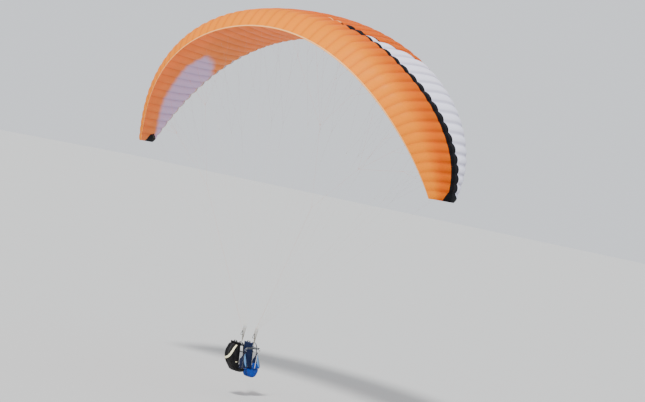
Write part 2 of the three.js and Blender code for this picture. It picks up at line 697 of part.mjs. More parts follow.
// A side: a panel from the loop down to the seat and back, and the strap that carries it
function harnessSide(side, half) {
  const loopZ = -CARABINER_HEIGHT;
  const strapTop = loopZ - loopInner - 1;
  const inner = half + SOFT_GAP;
  const outer = HANG_HALF_WIDTH + LOOP_WIDTH / 2;
  const panel = flatShape([
    [-SIDE_STRAP / 2, strapTop], [SIDE_STRAP / 2, strapTop], [30, loopZ - 90],
    [SEAT_FRONT - 40, SEAT_TOP + 20], [SEAT_FRONT - 50, SEAT_TOP - 45],
    [SEAT_REAR, SEAT_TOP - 50], [backAt(200) - 30, SEAT_TOP + 200], [-40, loopZ - 90],
  ]);
  const strap = flatShape([
    [-SIDE_STRAP / 2, strapTop], [SIDE_STRAP / 2, strapTop],
    [SIDE_STRAP / 2, loopZ - STRAP_TAB], [-SIDE_STRAP / 2, loopZ - STRAP_TAB],
  ]);
  const between = (shape, near, far) => plate(shape, Math.min(side * near, side * far), Math.max(side * near, side * far));
  return join([
    between(panel, inner, inner + SIDE_THICKNESS),
    between(strap, inner, outer),
    webbingLoop(0, side * HANG_HALF_WIDTH, loopZ),
  ]);
}

// A strap along rows of forward, sideways and up
function strap(rows, centre, width, thickness, across) {
  const route = rows.map((row) => new THREE.Vector3(...row).add(centre));
  return band(route, width, thickness, across);
}

const ALONG = new THREE.Vector3(1, 0, 0);
const ACROSS = new THREE.Vector3(0, 1, 0);
const UP = new THREE.Vector3(0, 0, 1);

function shoulderStraps(centre, half) {
  const top = SEAT_TOP + BACK_HEIGHT;
  const straps = Object.values(sides).map((side) =>
    strap([
      [backAt(BACK_HEIGHT - 90) + 6, side * 95, top - 90], [backAt(BACK_HEIGHT) + 40, side * 100, top + 10],
      [-60, side * 115, top - 40], [10, side * 130, SEAT_TOP + 420],
      [0, side * (half - 30), SEAT_TOP + 250], [-40, side * (half - 20), SEAT_TOP + 120],
    ], centre, SHOULDER_WIDTH, SHOULDER_THICKNESS, ACROSS),
  );
  const chest = [[10, -140, SEAT_TOP + 400], [10, 0, SEAT_TOP + 400], [10, 140, SEAT_TOP + 400]];
  return join([...straps, strap(chest, centre, CHEST_WIDTH, STRAP_THICKNESS, UP)]);
}

// Both straps over the thighs, and the one from where they meet down to the seat's front edge
function legStraps(centre, half) {
  const front = SEAT_FRONT - 60;
  const thighs = Object.values(sides).map((side) =>
    strap([
      [front, 0, SEAT_TOP + 165], [front - 20, side * 60, SEAT_TOP + 185],
      [front - 60, side * 125, SEAT_TOP + 165], [front - 60, side * (half - 2.4), SEAT_TOP + 110],
    ], centre, LEG_WIDTH, STRAP_THICKNESS, ALONG),
  );
  const middle = [[front, 0, SEAT_TOP + 170], [front + 10, 0, SEAT_TOP + 80], [front + 15, 0, SEAT_TOP + 0.5]];
  return join([...thighs, strap(middle, centre, LEG_WIDTH, STRAP_THICKNESS, ACROSS)]);
}

for (const { name, x, half, bag, cloth, seat } of HARNESSES) {
  const pivot = new THREE.Vector3(hang.x + x, 0, hang.z - BAR_DROP);
  addPiece(`${name}_seat`, cushion(seatOutline, half, 12, pivot), seat);
  addPiece(`${name}_back`, cushion(backOutline, half, 10, pivot), cloth);
  addPiece(`${name}_bag`, cushion(bag, half - 10, BAG_ROUNDING, pivot, 3), name === "pilot" ? cloth : seat);
  for (const [sideName, side] of Object.entries(sides)) {
    const y = side * HANG_HALF_WIDTH;
    addPiece(`${name}_carabiner_${sideName}`, carabiner(pivot.x, y, pivot.z), "alloy");
    addPiece(`${name}_side_${sideName}`, harnessSide(side, half).translate(pivot.toArray()), cloth);
  }
  addPiece(`${name}_shoulder_straps`, shoulderStraps(pivot, half), "webbing");
  addPiece(`${name}_leg_straps`, legStraps(pivot, half), "webbing");
}

export default model;
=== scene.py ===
"""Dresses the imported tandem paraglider: sails, ribs, lines, risers, spreader bars and harnesses.

The file is laid out as an add-on and run as a script. Metres, in the part's own frame:
+X is the direction of flight, +Y the pilot's left, +Z up.
"""

import math

import bmesh
import bpy
import numpy as np
from mathutils import Matrix, Vector
from mathutils.bvhtree import BVHTree


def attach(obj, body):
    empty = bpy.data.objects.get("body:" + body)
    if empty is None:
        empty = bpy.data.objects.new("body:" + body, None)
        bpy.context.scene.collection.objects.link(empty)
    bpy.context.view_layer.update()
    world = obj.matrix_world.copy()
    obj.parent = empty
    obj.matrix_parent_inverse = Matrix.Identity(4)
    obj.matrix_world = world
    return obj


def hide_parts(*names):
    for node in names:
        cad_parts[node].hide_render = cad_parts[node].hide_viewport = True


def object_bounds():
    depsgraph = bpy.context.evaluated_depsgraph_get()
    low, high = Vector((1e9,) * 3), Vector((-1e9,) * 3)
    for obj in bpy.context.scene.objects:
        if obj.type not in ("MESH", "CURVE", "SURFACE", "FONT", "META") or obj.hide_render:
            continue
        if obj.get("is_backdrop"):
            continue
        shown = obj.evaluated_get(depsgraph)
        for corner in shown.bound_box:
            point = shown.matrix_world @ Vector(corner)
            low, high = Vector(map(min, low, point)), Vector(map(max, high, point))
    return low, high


bl_info = {
    "name": "Tandem Paraglider",
    "version": (1, 0, 0),
    "blender": (4, 5, 0),
    "location": "View3D > Sidebar > Paraglider",
    "description": "Builds the sails, lines and harnesses of a tandem paraglider on its frame",
    "category": "Add Mesh",
}

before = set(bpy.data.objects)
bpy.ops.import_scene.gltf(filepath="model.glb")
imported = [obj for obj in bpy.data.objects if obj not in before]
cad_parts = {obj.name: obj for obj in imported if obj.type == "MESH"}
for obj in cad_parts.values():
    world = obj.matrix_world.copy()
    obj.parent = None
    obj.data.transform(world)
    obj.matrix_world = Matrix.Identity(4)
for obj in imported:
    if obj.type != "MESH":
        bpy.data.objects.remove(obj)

SIDES = {"left": 1, "right": -1}
FORWARD, ACROSS, UPWARD = Vector((1, 0, 0)), Vector((0, 1, 0)), Vector((0, 0, 1))

# The wing's shape, as the part's source gives it
HALF_SPAN = 7.5
ROOT_CHORD = 3.33
TIP_CHORD_RATIO = 0.245
CHORD_POWER = 3.1
TIP_SWEEP = 0.968
SWEEP_POWER = 4.5
ARC_TIP_ANGLE = math.radians(85.7)
ARC_LINEAR_SHARE = 0.724
TIP_TWIST = math.radians(12.6)
THICKNESS = 0.168
CAMBER = 0.03
CAMBER_PLACE = 0.25
LIFT_PLACE = 0.3
BRAKE_HINGE = 0.85
BRAKE_DROP = 0.131
BRAKE_CURVE = 1.6
CELLS = 25
TIP_CELL_NARROWING = 0.12
CELL_BULGE = 0.13
FLAT_TAIL = 0.3
TRAILING_HALF = 0.003
TAIL_POWER = 24  # how late along the chord the trailing edge's own thickness comes in
INLET_TOP = 0.016  # share of the chord, on the lower skin
INLET_BOTTOM = 0.055

# The lines and what hangs on them, as the part's source gives them
LINE_DROP = 9.2
HANG_BACK = 0.336
HANG_HALF_WIDTH = 0.22
RISER_LENGTH = 0.52
MAIN_SPACING = 0.006
HANDLE_DROP = 0.12
HANDLE_BEHIND = 0.022
BAR_REACH = 0.29
BAR_DROP = 0.03
CARABINER_HEIGHT = 0.09
CARABINER_HALF_WIDTH = 0.026
ROD_RADIUS = 0.005
SHACKLE_X = {"a": 0.06, "b": 0.005, "c": -0.05}
SHACKLE_HEIGHT = 0.036

# The harnesses, heights counted from their pivots
SEAT_TOP = -0.53
SEAT_THICKNESS = 0.06
SEAT_FRONT = 0.265
SEAT_REAR = -0.11
BACK_HEIGHT = 0.68
BACK_BEND = 0.06
BACK_THICKNESS = 0.045
BACK_LEAN = 0.16


# Colours and small sizes that a user would change


def screen(red, green, blue):
    """A colour as a screen shows it, 0 to 255, in Blender's linear values."""
    shares = (value / 255 for value in (red, green, blue))
    return tuple(v / 12.92 if v <= 0.04045 else ((v + 0.055) / 1.055) ** 2.4 for v in shares)


def colour(label, text, value):
    return bpy.props.FloatVectorProperty(
        name=label, description=text, subtype="COLOR", size=3, min=0, max=1, default=value
    )


def number(label, text, value, **limits):
    return bpy.props.FloatProperty(name=label, description=text, default=value, min=0, **limits)


def length(label, text, value):
    return number(label, text, value, unit="LENGTH")


class PARAGLIDER_PG_sails(bpy.types.PropertyGroup):
    main: colour("Main cloth", "Colour of most upper panels", screen(238, 120, 0))
    # Painted highlight: the upper sail turns this lighter, yellower orange towards the trailing
    # edge, where the bent-down flap faces the light; the ribs use it for random tone too
    trailing: colour(
        "Trailing cloth", "Colour above, towards the trailing edge", screen(253, 166, 0)
    )
    accent: colour("Accent", "Colour of the wedge behind the leading edge", screen(236, 238, 255))
    # Salmon rather than the main orange: a painted glow, standing in for the light that comes
    # through both skins
    under: colour("Lower cloth", "Colour of most lower panels", screen(255, 152, 78))
    # Painted shade: greyish mauve for the lower sail's white outer panels, which lie in shade and
    # take an orange glow
    shaded_lower_accent: colour(
        "Lower accent", "Colour of the lower sail's outer panels", screen(206, 180, 216)
    )
    stripe: colour("Stripe", "Colour of the scalloped stripe and the tips", screen(22, 22, 26))
    stripe_start: colour("Stripe start", "Colour of the stripe's inner end", screen(244, 226, 150))
    # A warmer cream than the tape's own: partly painted shade, for the far half's hem that faces
    # down and back
    tape: colour("Hem tape", "Colour of the tape along the trailing edge", screen(252, 192, 116))
    seam_width: length("Seam width", "Width of the folded seams between the cells", 0.011)
    pucker: length("Pucker", "How deep the cloth puckers beside the seams", 0.004)
    see_through: number(
        "Light through the cloth", "Share of the light that passes", 0.5, max=1, subtype="FACTOR"
    )


class PARAGLIDER_PG_lines(bpy.types.PropertyGroup):
    sheath: colour("Sheath", "Colour of the main lines", screen(214, 206, 190))
    brake: colour("Brake lines", "Colour of the brake lines", screen(226, 120, 54))
    main_radius: length("Main line radius", "Radius of the lines on the risers", 0.00135)
    middle_radius: length("Middle line radius", "Radius of the lines above the first fork", 0.001)
    upper_radius: length("Upper line radius", "Radius of the lines at the canopy", 0.0008)
    tab: colour("Tabs", "Colour of the sewn tabs that hold the lines", screen(224, 112, 44))
    tab_width: length("Tab width", "Width of the sewn tabs that hold the lines", 0.014)


class PARAGLIDER_PG_harnesses(bpy.types.PropertyGroup):
    black: colour("Black cloth", "Colour of the pilot's back, airbag and handles", screen(4, 4, 6))
    navy: colour("Navy cloth", "Colour of the sides and the passenger's back", screen(8, 24, 58))
    blue: colour("Blue cloth", "Colour of the passenger's seat and airbag", screen(2, 56, 150))
    sky: colour("Side trim", "Colour of the curved trim on the sides", screen(96, 150, 205))
    cream: colour("Stripe", "Colour of the pilot's airbag stripe and tabs", screen(236, 230, 190))
    strap: colour("Dark straps", "Colour of the pilot's straps and the welts", screen(14, 14, 17))
    riser: colour("Risers", "Colour of the risers", screen(150, 144, 132))
    light_strap: colour(
        "Light straps", "Colour of the passenger's straps and the thread", screen(206, 206, 208)
    )
    stitch_length: length("Stitch length", "Length of one stitch", 0.004)
    stitch_spacing: length("Stitch spacing", "From one stitch to the next", 0.0065)
    stitch_radius: length("Thread radius", "Radius of the thread", 0.0006)


class PARAGLIDER_PG_stage(bpy.types.PropertyGroup):
    floor: colour("Floor", "Colour of the floor", screen(186, 186, 184))
    air: colour("Air", "Colour of the light from all round", screen(240, 244, 250))
    floor_gap: length("Floor gap", "How far the floor lies below the harnesses", 0.55)
    sun: number("Key light", "Strength of the key light", 5.0)
    sky: number("Sky", "Strength of the soft light from all round", 1.1)


# Meshes

RIM_ANGLE = 1.2  # a slab's edges that turn more than this are bevelled
SHARP_ANGLE = math.radians(50)


def add_object(name, data):
    made = bpy.data.objects.new(name, data)
    bpy.context.scene.collection.objects.link(made)
    return made


def add_mesh(name, vertices, faces, edges=(), smooth=True):
    mesh = bpy.data.meshes.new(name)
    mesh.from_pydata([tuple(v) for v in vertices], list(edges), [tuple(f) for f in faces])
    if smooth:
        mesh.shade_smooth()
    mesh.update()
    return add_object(name, mesh)


def add_built(name, work):
    """An object from a mesh in the making, which is closed."""
    mesh = bpy.data.meshes.new(name)
    work.to_mesh(mesh)
    work.free()
    return add_object(name, mesh)


def fill_outline(work, loops):
    """Fills the first loop of points and leaves the others open, as holes."""
    edges = []
    for loop in loops:
        corners = [work.verts.new(p) for p in loop]
        edges += [work.edges.new((corners[k - 1], corners[k])) for k in range(len(corners))]
    bmesh.ops.triangle_fill(work, use_beauty=True, edges=edges)


def cleaned(piece, merge=0.0, turn=True):
    """Merges points closer than merge, then turns the faces outwards."""
    work = bmesh.new()
    work.from_mesh(piece.data)
    if merge:
        bmesh.ops.remove_doubles(work, verts=work.verts, dist=merge)
    if turn:
        bmesh.ops.recalc_face_normals(work, faces=work.faces)
    work.to_mesh(piece.data)
    work.free()
    piece.data.update()


def keep(piece, name, values, kind="FLOAT"):
    """Stores one value for each vertex under a name that materials and trees read."""
    attribute = piece.data.attributes.new(name, kind, "POINT")
    field = "value" if kind == "FLOAT" else "vector"
    attribute.data.foreach_set(field, np.ascontiguousarray(values, dtype=np.float32).ravel())


def keep_uv(piece, across, along):
    """A UV map in metres from one value pair for each vertex."""
    layer = piece.data.uv_layers.new(name="UVMap")
    index = np.empty(len(piece.data.loops), dtype=np.int32)
    piece.data.loops.foreach_get("vertex_index", index)
    pairs = np.stack([np.ravel(across)[index], np.ravel(along)[index]], axis=1)
    layer.data.foreach_set("uv", pairs.astype(np.float32).ravel())


def grid_faces(columns, rows, start=0, closed=False):
    """Quads between columns of row points; closed joins the last row to the first."""
    faces = []
    for c in range(columns - 1):
        for r in range(rows if closed else rows - 1):
            low, high = start + c * rows, start + (c + 1) * rows
            after = (r + 1) % rows
            faces.append((low + r, high + r, high + after, low + after))
    return faces


def tube_faces(columns, rows, start=0):
    """Quads round a tube of rings, and a face over each end."""
    last = start + (columns - 1) * rows
    ends = [tuple(range(start, start + rows)), tuple(reversed(range(last, last + rows)))]
    return grid_faces(columns, rows, start, closed=True) + ends


def ring_faces(columns, rows):
    """Quads round a tube whose last ring joins its first."""
    last = (columns - 1) * rows
    seam = [(last + r, r, (r + 1) % rows, last + (r + 1) % rows) for r in range(rows)]
    return grid_faces(columns, rows, closed=True) + seam


def flipped(faces):
    return [tuple(reversed(face)) for face in faces]


def finish_piece(piece, body, material=None, replaced=()):
    """Gives the piece its body and the nodes that it stands for."""
    if material:
        piece.data.materials.clear()
        piece.data.materials.append(material)
    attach(piece, body)
    if replaced:
        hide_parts(*replaced)


def joined(name, pieces):
    """One object from several, each with its own material and UV map."""
    whole = add_object(name, bpy.data.meshes.new(name))
    every = [whole, *pieces]
    with bpy.context.temp_override(
        active_object=whole, object=whole, selected_objects=every, selected_editable_objects=every
    ):
        bpy.ops.object.join()
    return whole


def smooth_route(points, steps):
    """A centripetal curve through the points, with some steps between each two."""
    points = [Vector(p) for p in points]
    padded = [2 * points[0] - points[1], *points, 2 * points[-1] - points[-2]]
    route = []
    for k in range(1, len(padded) - 2):
        p0, p1, p2, p3 = padded[k - 1 : k + 3]
        t1 = max((p1 - p0).length, 1e-6) ** 0.5
        t2 = t1 + max((p2 - p1).length, 1e-6) ** 0.5
        t3 = t2 + max((p3 - p2).length, 1e-6) ** 0.5
        for j in range(steps):
            t = t1 + (t2 - t1) * j / steps
            a1 = p0.lerp(p1, t / t1)
            a2 = p1.lerp(p2, (t - t1) / (t2 - t1))
            a3 = p2.lerp(p3, (t - t2) / (t3 - t2))
            b1 = a1.lerp(a2, t / t2)
            b2 = a2.lerp(a3, (t - t1) / (t3 - t1))
            route.append(b1.lerp(b2, (t - t1) / (t2 - t1)))
    route.append(points[-1])
    return route


def along_at(route, k):
    """The direction of an open route at one of its points."""
    return (route[min(k + 1, len(route) - 1)] - route[max(k - 1, 0)]).normalized()


def swept(name, route, section, across, closed=False):
    """A section of (sideways, outwards) points swept along a route.

    across is the sideways direction, or a list with one for each point.
    """
    count = len(route)
    sideways = across if isinstance(across, list) else [across] * count
    vertices, run, distance = [], [], 0.0
    for k, point in enumerate(route):
        before = route[k - 1] if k or closed else point
        after = route[(k + 1) % count] if k + 1 < count or closed else point
        along = (after - before).normalized()
        side = (sideways[k] - along * sideways[k].dot(along)).normalized()
        face = along.cross(side)
        distance += (point - route[k - 1]).length if k else 0
        for a, b in section:
            vertices.append(point + side * a + face * b)
            run.append(distance)
    faces = (ring_faces if closed else tube_faces)(count, len(section))
    piece = add_mesh(name, vertices, flipped(faces))
    keep_uv(piece, [a for a, _ in section] * count, run)
    return piece


def turns_of(count):
    """The angles of evenly spread points round a circle."""
    return [2 * math.pi * k / count for k in range(count)]


def oval(across, up, half, tall, count=24):
    """Points round a flat oval."""
    return [(across + half * math.cos(t), up + tall * math.sin(t)) for t in turns_of(count)]


def round_section(radius, sides=10):
    return oval(0, 0, radius, radius, sides)


def flat_section(width, thickness):
    """A webbing's section, with rounded edges."""
    half, edge = width / 2, thickness / 2
    flat, corner, rise = half - edge, half - edge * 0.3, edge * 0.6
    return [
        (-flat, -edge), (0, -edge), (flat, -edge), (corner, -rise), (half, 0), (corner, rise),
        (flat, edge), (0, edge), (-flat, edge), (-corner, rise), (-half, 0), (-corner, -rise),
    ]


def rod(name, route, radius, closed=False, sides=10):
    """A round rod along a route in any direction."""
    away = [p - route[0] for p in route]
    span = max(away, key=lambda v: v.length)
    normal = max((span.cross(v) for v in away), key=lambda v: v.length)
    if normal.length < 1e-9:
        normal = span.orthogonal()
    return swept(name, route, round_section(radius, sides), normal.normalized(), closed)


def rounded(corners, radius, steps=4):
    """A closed outline, flat or not, with its corners rounded."""
    corners = [Vector(c) for c in corners]
    outline = []
    for k, corner in enumerate(corners):
        before, after = corners[k - 1] - corner, corners[(k + 1) % len(corners)] - corner
        reach = min(radius, before.length / 2.1, after.length / 2.1)
        start, end = corner + before.normalized() * reach, corner + after.normalized() * reach
        for j in range(steps + 1):
            t = j / steps
            outline.append((1 - t) ** 2 * start + 2 * t * (1 - t) * corner + t**2 * end)
    return outline


def slab(name, outline, origin, right, up, thickness, bevel, holes=()):
    """A plate cut from a flat outline, with its middle at origin; holes are outlines too."""
    right, up = Vector(right).normalized(), Vector(up).normalized()
    normal = right.cross(up)
    half = normal * thickness / 2
    work = bmesh.new()
    loops = [outline, *holes]
    fill_outline(
        work, [[Vector(origin) + right * a + up * b - half for a, b in loop] for loop in loops]
    )
    made = bmesh.ops.extrude_face_region(work, geom=list(work.faces))
    raised = [item for item in made["geom"] if isinstance(item, bmesh.types.BMVert)]
    bmesh.ops.translate(work, verts=raised, vec=normal * thickness)
    bmesh.ops.recalc_face_normals(work, faces=list(work.faces))
    rims = [e for e in work.edges if e.calc_face_angle(0) > RIM_ANGLE]
    bmesh.ops.bevel(work, geom=rims, offset=bevel, segments=2, profile=0.6, affect="EDGES")
    piece = add_built(name, work)
    piece.data.shade_smooth()
    piece.data.set_sharp_from_angle(angle=SHARP_ANGLE)
    return piece


# Node trees


class Graph:
    """A node tree with short calls for the nodes that several trees use."""

    def __init__(self, tree):
        self.tree = tree

    def feed(self, socket, value):
        if isinstance(value, bpy.types.NodeSocket):
            self.tree.links.new(value, socket)
        elif value is not None:
            socket.default_value = value

    def node(self, kind, inputs=None, **settings):
        made = self.tree.nodes.new(kind)
        for name, value in settings.items():
            setattr(made, name, value)
        for name, value in (inputs or {}).items():
            self.feed(made.inputs[name], value)
        return made

    def add(self, kind, inputs=None, **settings):
        """The first output of a new node."""
        return self.node(kind, inputs, **settings).outputs[0]

    def math(self, operation, *values):
        return self.add("ShaderNodeMath", dict(enumerate(values)), operation=operation)

    def vector(self, operation, *values):
        return self.add("ShaderNodeVectorMath", dict(enumerate(values)), operation=operation)

    def scale(self, vector, amount):
        return self.add("ShaderNodeVectorMath", {0: vector, "Scale": amount}, operation="SCALE")

    def split(self, vector):
        return self.node("ShaderNodeSeparateXYZ", {"Vector": vector}).outputs


def new_tree(name, given, kind="NodeSocketFloat"):
    """A geometry tree that takes a mesh, the given values and a material."""
    tree = bpy.data.node_groups.new(name, "GeometryNodeTree")
    geometry = "NodeSocketGeometry"
    sockets = {"Geometry": geometry, **dict.fromkeys(given, kind), "Material": "NodeSocketMaterial"}
    for label, socket in sockets.items():
        tree.interface.new_socket(label, in_out="INPUT", socket_type=socket)
    tree.interface.new_socket("Geometry", in_out="OUTPUT", socket_type=geometry)
    graph = Graph(tree)
    return graph, graph.node("NodeGroupInput").outputs


def end_tree(graph, given, geometry):
    """Makes a tree's copies real and gives them its material."""
    plain = graph.add("GeometryNodeRealizeInstances", {"Geometry": geometry})
    inputs = {"Geometry": plain, "Material": given["Material"]}
    graph.node("NodeGroupOutput", {"Geometry": graph.add("GeometryNodeSetMaterial", inputs)})
    return graph.tree


def kept(graph, name, kind="FLOAT"):
    """A value that keep stored for each point."""
    return graph.add("GeometryNodeInputNamedAttribute", {"Name": name}, data_type=kind)


def run_tree(name, source, tree, values):
    """The plain mesh that a tree makes from a source piece, which is removed."""
    modifier = source.modifiers.new("Tree", "NODES")
    modifier.node_group = tree
    for item in tree.interface.items_tree:
        if item.in_out == "INPUT" and item.name in values:
            modifier[item.identifier] = values[item.name]
    graph = bpy.context.evaluated_depsgraph_get()
    mesh = bpy.data.meshes.new_from_object(
        source.evaluated_get(graph), preserve_all_data_layers=True, depsgraph=graph
    )
    source.modifiers.clear()
    bpy.data.objects.remove(source)
    mesh.name = name
    return add_object(name, mesh)


PUCKER_REACH = 1.15  # above 1, so that a cell's middle keeps a little of the ripple


def blown_cells_tree():
    """Swells each cell between its seams and puckers the cloth beside them."""
    graph, given = new_tree("Blown cells", ("Fullness", "Pucker", "Pucker size", "Seed"))
    across = kept(graph, "across")
    rest = graph.math("SUBTRACT", 1.0, across)
    arch = graph.math("MULTIPLY", graph.math("MULTIPLY", across, rest), 4.0)
    fullness = graph.math("MULTIPLY", arch, given["Fullness"])
    swell = graph.math("MULTIPLY", kept(graph, "swell"), fullness)
    place = graph.add("GeometryNodeInputPosition")
    fineness = graph.math("DIVIDE", 1.0, given["Pucker size"])
    inputs = {"Vector": place, "W": given["Seed"], "Scale": fineness, "Detail": 2.0}
    ripple = graph.add("ShaderNodeTexNoise", inputs, noise_dimensions="4D")
    near = graph.math("SUBTRACT", PUCKER_REACH, arch)
    beside = graph.math("MULTIPLY", near, graph.math("MULTIPLY", arch, 4.0))
    deep = graph.math("MULTIPLY", beside, given["Pucker"])
    depth = graph.math("MULTIPLY", deep, graph.math("SUBTRACT", ripple, 0.5))
    outward = kept(graph, "outward", "FLOAT_VECTOR")
    offset = graph.scale(outward, graph.math("ADD", swell, depth))
    inputs = {"Geometry": given["Geometry"], "Offset": offset}
    return end_tree(graph, given, graph.add("GeometryNodeSetPosition", inputs))


def copies_tree():
    """Puts a copy of one piece at each point, turned and scaled as the point says."""
    graph, given = new_tree("Placed copies", ("Piece",), "NodeSocketObject")
    copy = graph.node("GeometryNodeObjectInfo", {"Object": given["Piece"]}).outputs["Geometry"]
    turn, size = kept(graph, "turn", "FLOAT_VECTOR"), kept(graph, "size")
    inputs = {"Points": given["Geometry"], "Instance": copy, "Rotation": turn, "Scale": size}
    return end_tree(graph, given, graph.add("GeometryNodeInstanceOnPoints", inputs))


def stitches_tree():
    """Lays stitches along the source's lines."""
    graph, given = new_tree("Stitches", ("Spacing", "Length", "Radius"))
    line = graph.add("GeometryNodeMeshToCurve", {"Mesh": given["Geometry"]})
    inputs = {"Curve": line, "Length": given["Spacing"]}
    even = graph.add("GeometryNodeResampleCurve", inputs, mode="LENGTH")
    along = graph.add("GeometryNodeInputTangent")
    turn = graph.add("FunctionNodeAlignRotationToVector", {"Vector": along}, axis="Z")
    inputs = {"Vertices": 6, "Radius": given["Radius"], "Depth": given["Length"]}
    thread = graph.add("GeometryNodeMeshCylinder", inputs)
    inputs = {"Points": even, "Instance": thread, "Rotation": turn}
    return end_tree(graph, given, graph.add("GeometryNodeInstanceOnPoints", inputs))


def place_copies(name, original, points, turns, sizes, material):
    """Copies of one piece at the points, as a plain mesh; the original is removed."""
    source = add_mesh(name + "_points", points, [])
    keep(source, "turn", turns, "FLOAT_VECTOR")
    keep(source, "size", sizes)
    piece = run_tree(name, source, copies_tree(), {"Piece": original, "Material": material})
    bpy.data.objects.remove(original)
    return piece


def turn_of(forward, up):
    """The Euler turn of a frame whose Z is up and whose X is as near forward as that allows."""
    up = Vector(up).normalized()
    side = up.cross(Vector(forward)).normalized()
    return tuple(Matrix((side.cross(up), side, up)).transposed().to_euler())


def stitch_rows(name, routes, body, looks):
    """Rows of light stitches along several routes, as one piece."""
    vertices, edges = [], []
    for route in routes:
        start = len(vertices)
        vertices += route
        edges += [(start + k, start + k + 1) for k in range(len(route) - 1)]
    source = add_mesh(name + "_lines", vertices, [], edges)
    values = {
        "Spacing": looks.stitch_spacing, "Length": looks.stitch_length,
        "Radius": looks.stitch_radius, "Material": thread_material(looks.light_strap),
    }
    finish_piece(run_tree(name, source, stitches_tree(), values), body)


# Materials

CLEAN_BORDER = 0.0015  # half of the blur between two cloths that are sewn together
RIPSTOP_PITCH = 0.005
WEBBING_RIB, WEBBING_STRAND = 0.0022, 0.0035
BRAID_PITCH, BRAID_SLANT = 0.004, 3000
WAVE_SCALE = 0.1  # a wave texture's scale times the pitch of its bands
# Each metal's linear colour and its roughness
METALS = {
    "link steel": ((0.55, 0.56, 0.58), 0.25),
    "carabiner alloy": ((0.5, 0.52, 0.56), 0.28),
    "sleeve alloy": ((0.06, 0.06, 0.07), 0.35),
    "bar alloy": ((0.09, 0.095, 0.105), 0.36),
    "bush alloy": ((0.62, 0.63, 0.65), 0.3),
}
WORN_METAL = (0.6, 0.6, 0.62)
GUIDE_PLASTIC, BUCKLE_PLASTIC, TEETH_PLASTIC = screen(
    26, 26, 28
), screen(24, 24, 26), screen(20, 20, 22)


def new_material(name):
    """A material with an empty tree, its graph and a point's place in the part's frame."""
    material = bpy.data.materials.new(name)
    material.use_nodes = True
    material.node_tree.nodes.clear()
    graph = Graph(material.node_tree)
    return material, graph, graph.node("ShaderNodeTexCoord").outputs["Object"]


def end_material(material, graph, inputs, passing=None):
    """Gives a material its shader; passing is the share of the light that goes through cloth."""
    shader = graph.add("ShaderNodeBsdfPrincipled", inputs)
    if passing is not None:
        through = {"Color": inputs["Base Color"], "Normal": inputs.get("Normal")}
        lit = graph.add("ShaderNodeBsdfTranslucent", through)
        shader = graph.add("ShaderNodeMixShader", {0: passing, 1: shader, 2: lit})
    graph.node("ShaderNodeOutputMaterial", {"Surface": shader})
    return material


def darker(paint, share):
    return tuple(value * share for value in paint)


def faded(paint, level, share):
    """A colour part of the way to a grey level."""
    return tuple(value + (level - value) * share for value in paint)


def mixed(graph, amount, low, high):
    """A colour between two, each a socket or three numbers."""
    node = graph.node("ShaderNodeMix", {"Factor": amount}, data_type="RGBA")
    for name, value in (("A", low), ("B", high)):
        socket = isinstance(value, bpy.types.NodeSocket)
        graph.feed(node.inputs[name], value if socket else (*value, 1.0))
    return node.outputs["Result"]


def noise(graph, vector, scale, detail=3.0):
    return graph.add("ShaderNodeTexNoise", {"Vector": vector, "Scale": scale, "Detail": detail})


def stepped(graph, value, low, high, start=0.0, end=1.0):
    """A smooth step of a value from start at low to end at high."""
    inputs = {"Value": value, "From Min": low, "From Max": high, "To Min": start, "To Max": end}
    return graph.add("ShaderNodeMapRange", inputs, interpolation_type="SMOOTHSTEP")


def bumped(graph, height, strength, distance):
    inputs = {"Height": height, "Strength": strength, "Distance": distance}
    return graph.add("ShaderNodeBump", inputs)


def ripstop_height(graph):
    """The raised threads of ripstop cloth, from the UV map in metres."""
    parts = graph.split(graph.scale(graph.add("ShaderNodeUVMap"), 1 / RIPSTOP_PITCH))
    lines = []
    for part in parts[:2]:
        place = graph.math("ABSOLUTE", graph.math("SUBTRACT", graph.math("FRACT", part), 0.5))
        lines.append(stepped(graph, place, 0.42, 0.5))
    return graph.math("MAXIMUM", *lines)


def cloth_value(graph, name):
    """A value that paint_fields gave each point of the sails."""
    return graph.node("ShaderNodeAttribute", attribute_name=name).outputs["Fac"]


def past(graph, distance, blur=CLEAN_BORDER):
    """1 where a distance in metres is above 0, and 0 below it."""
    return stepped(graph, distance, -blur, blur)


def within(graph, name, distance):
    """1 where a distance is under the half width that the cloth value gives."""
    half = cloth_value(graph, name)
    return past(graph, graph.math("SUBTRACT", half, graph.math("ABSOLUTE", distance)))


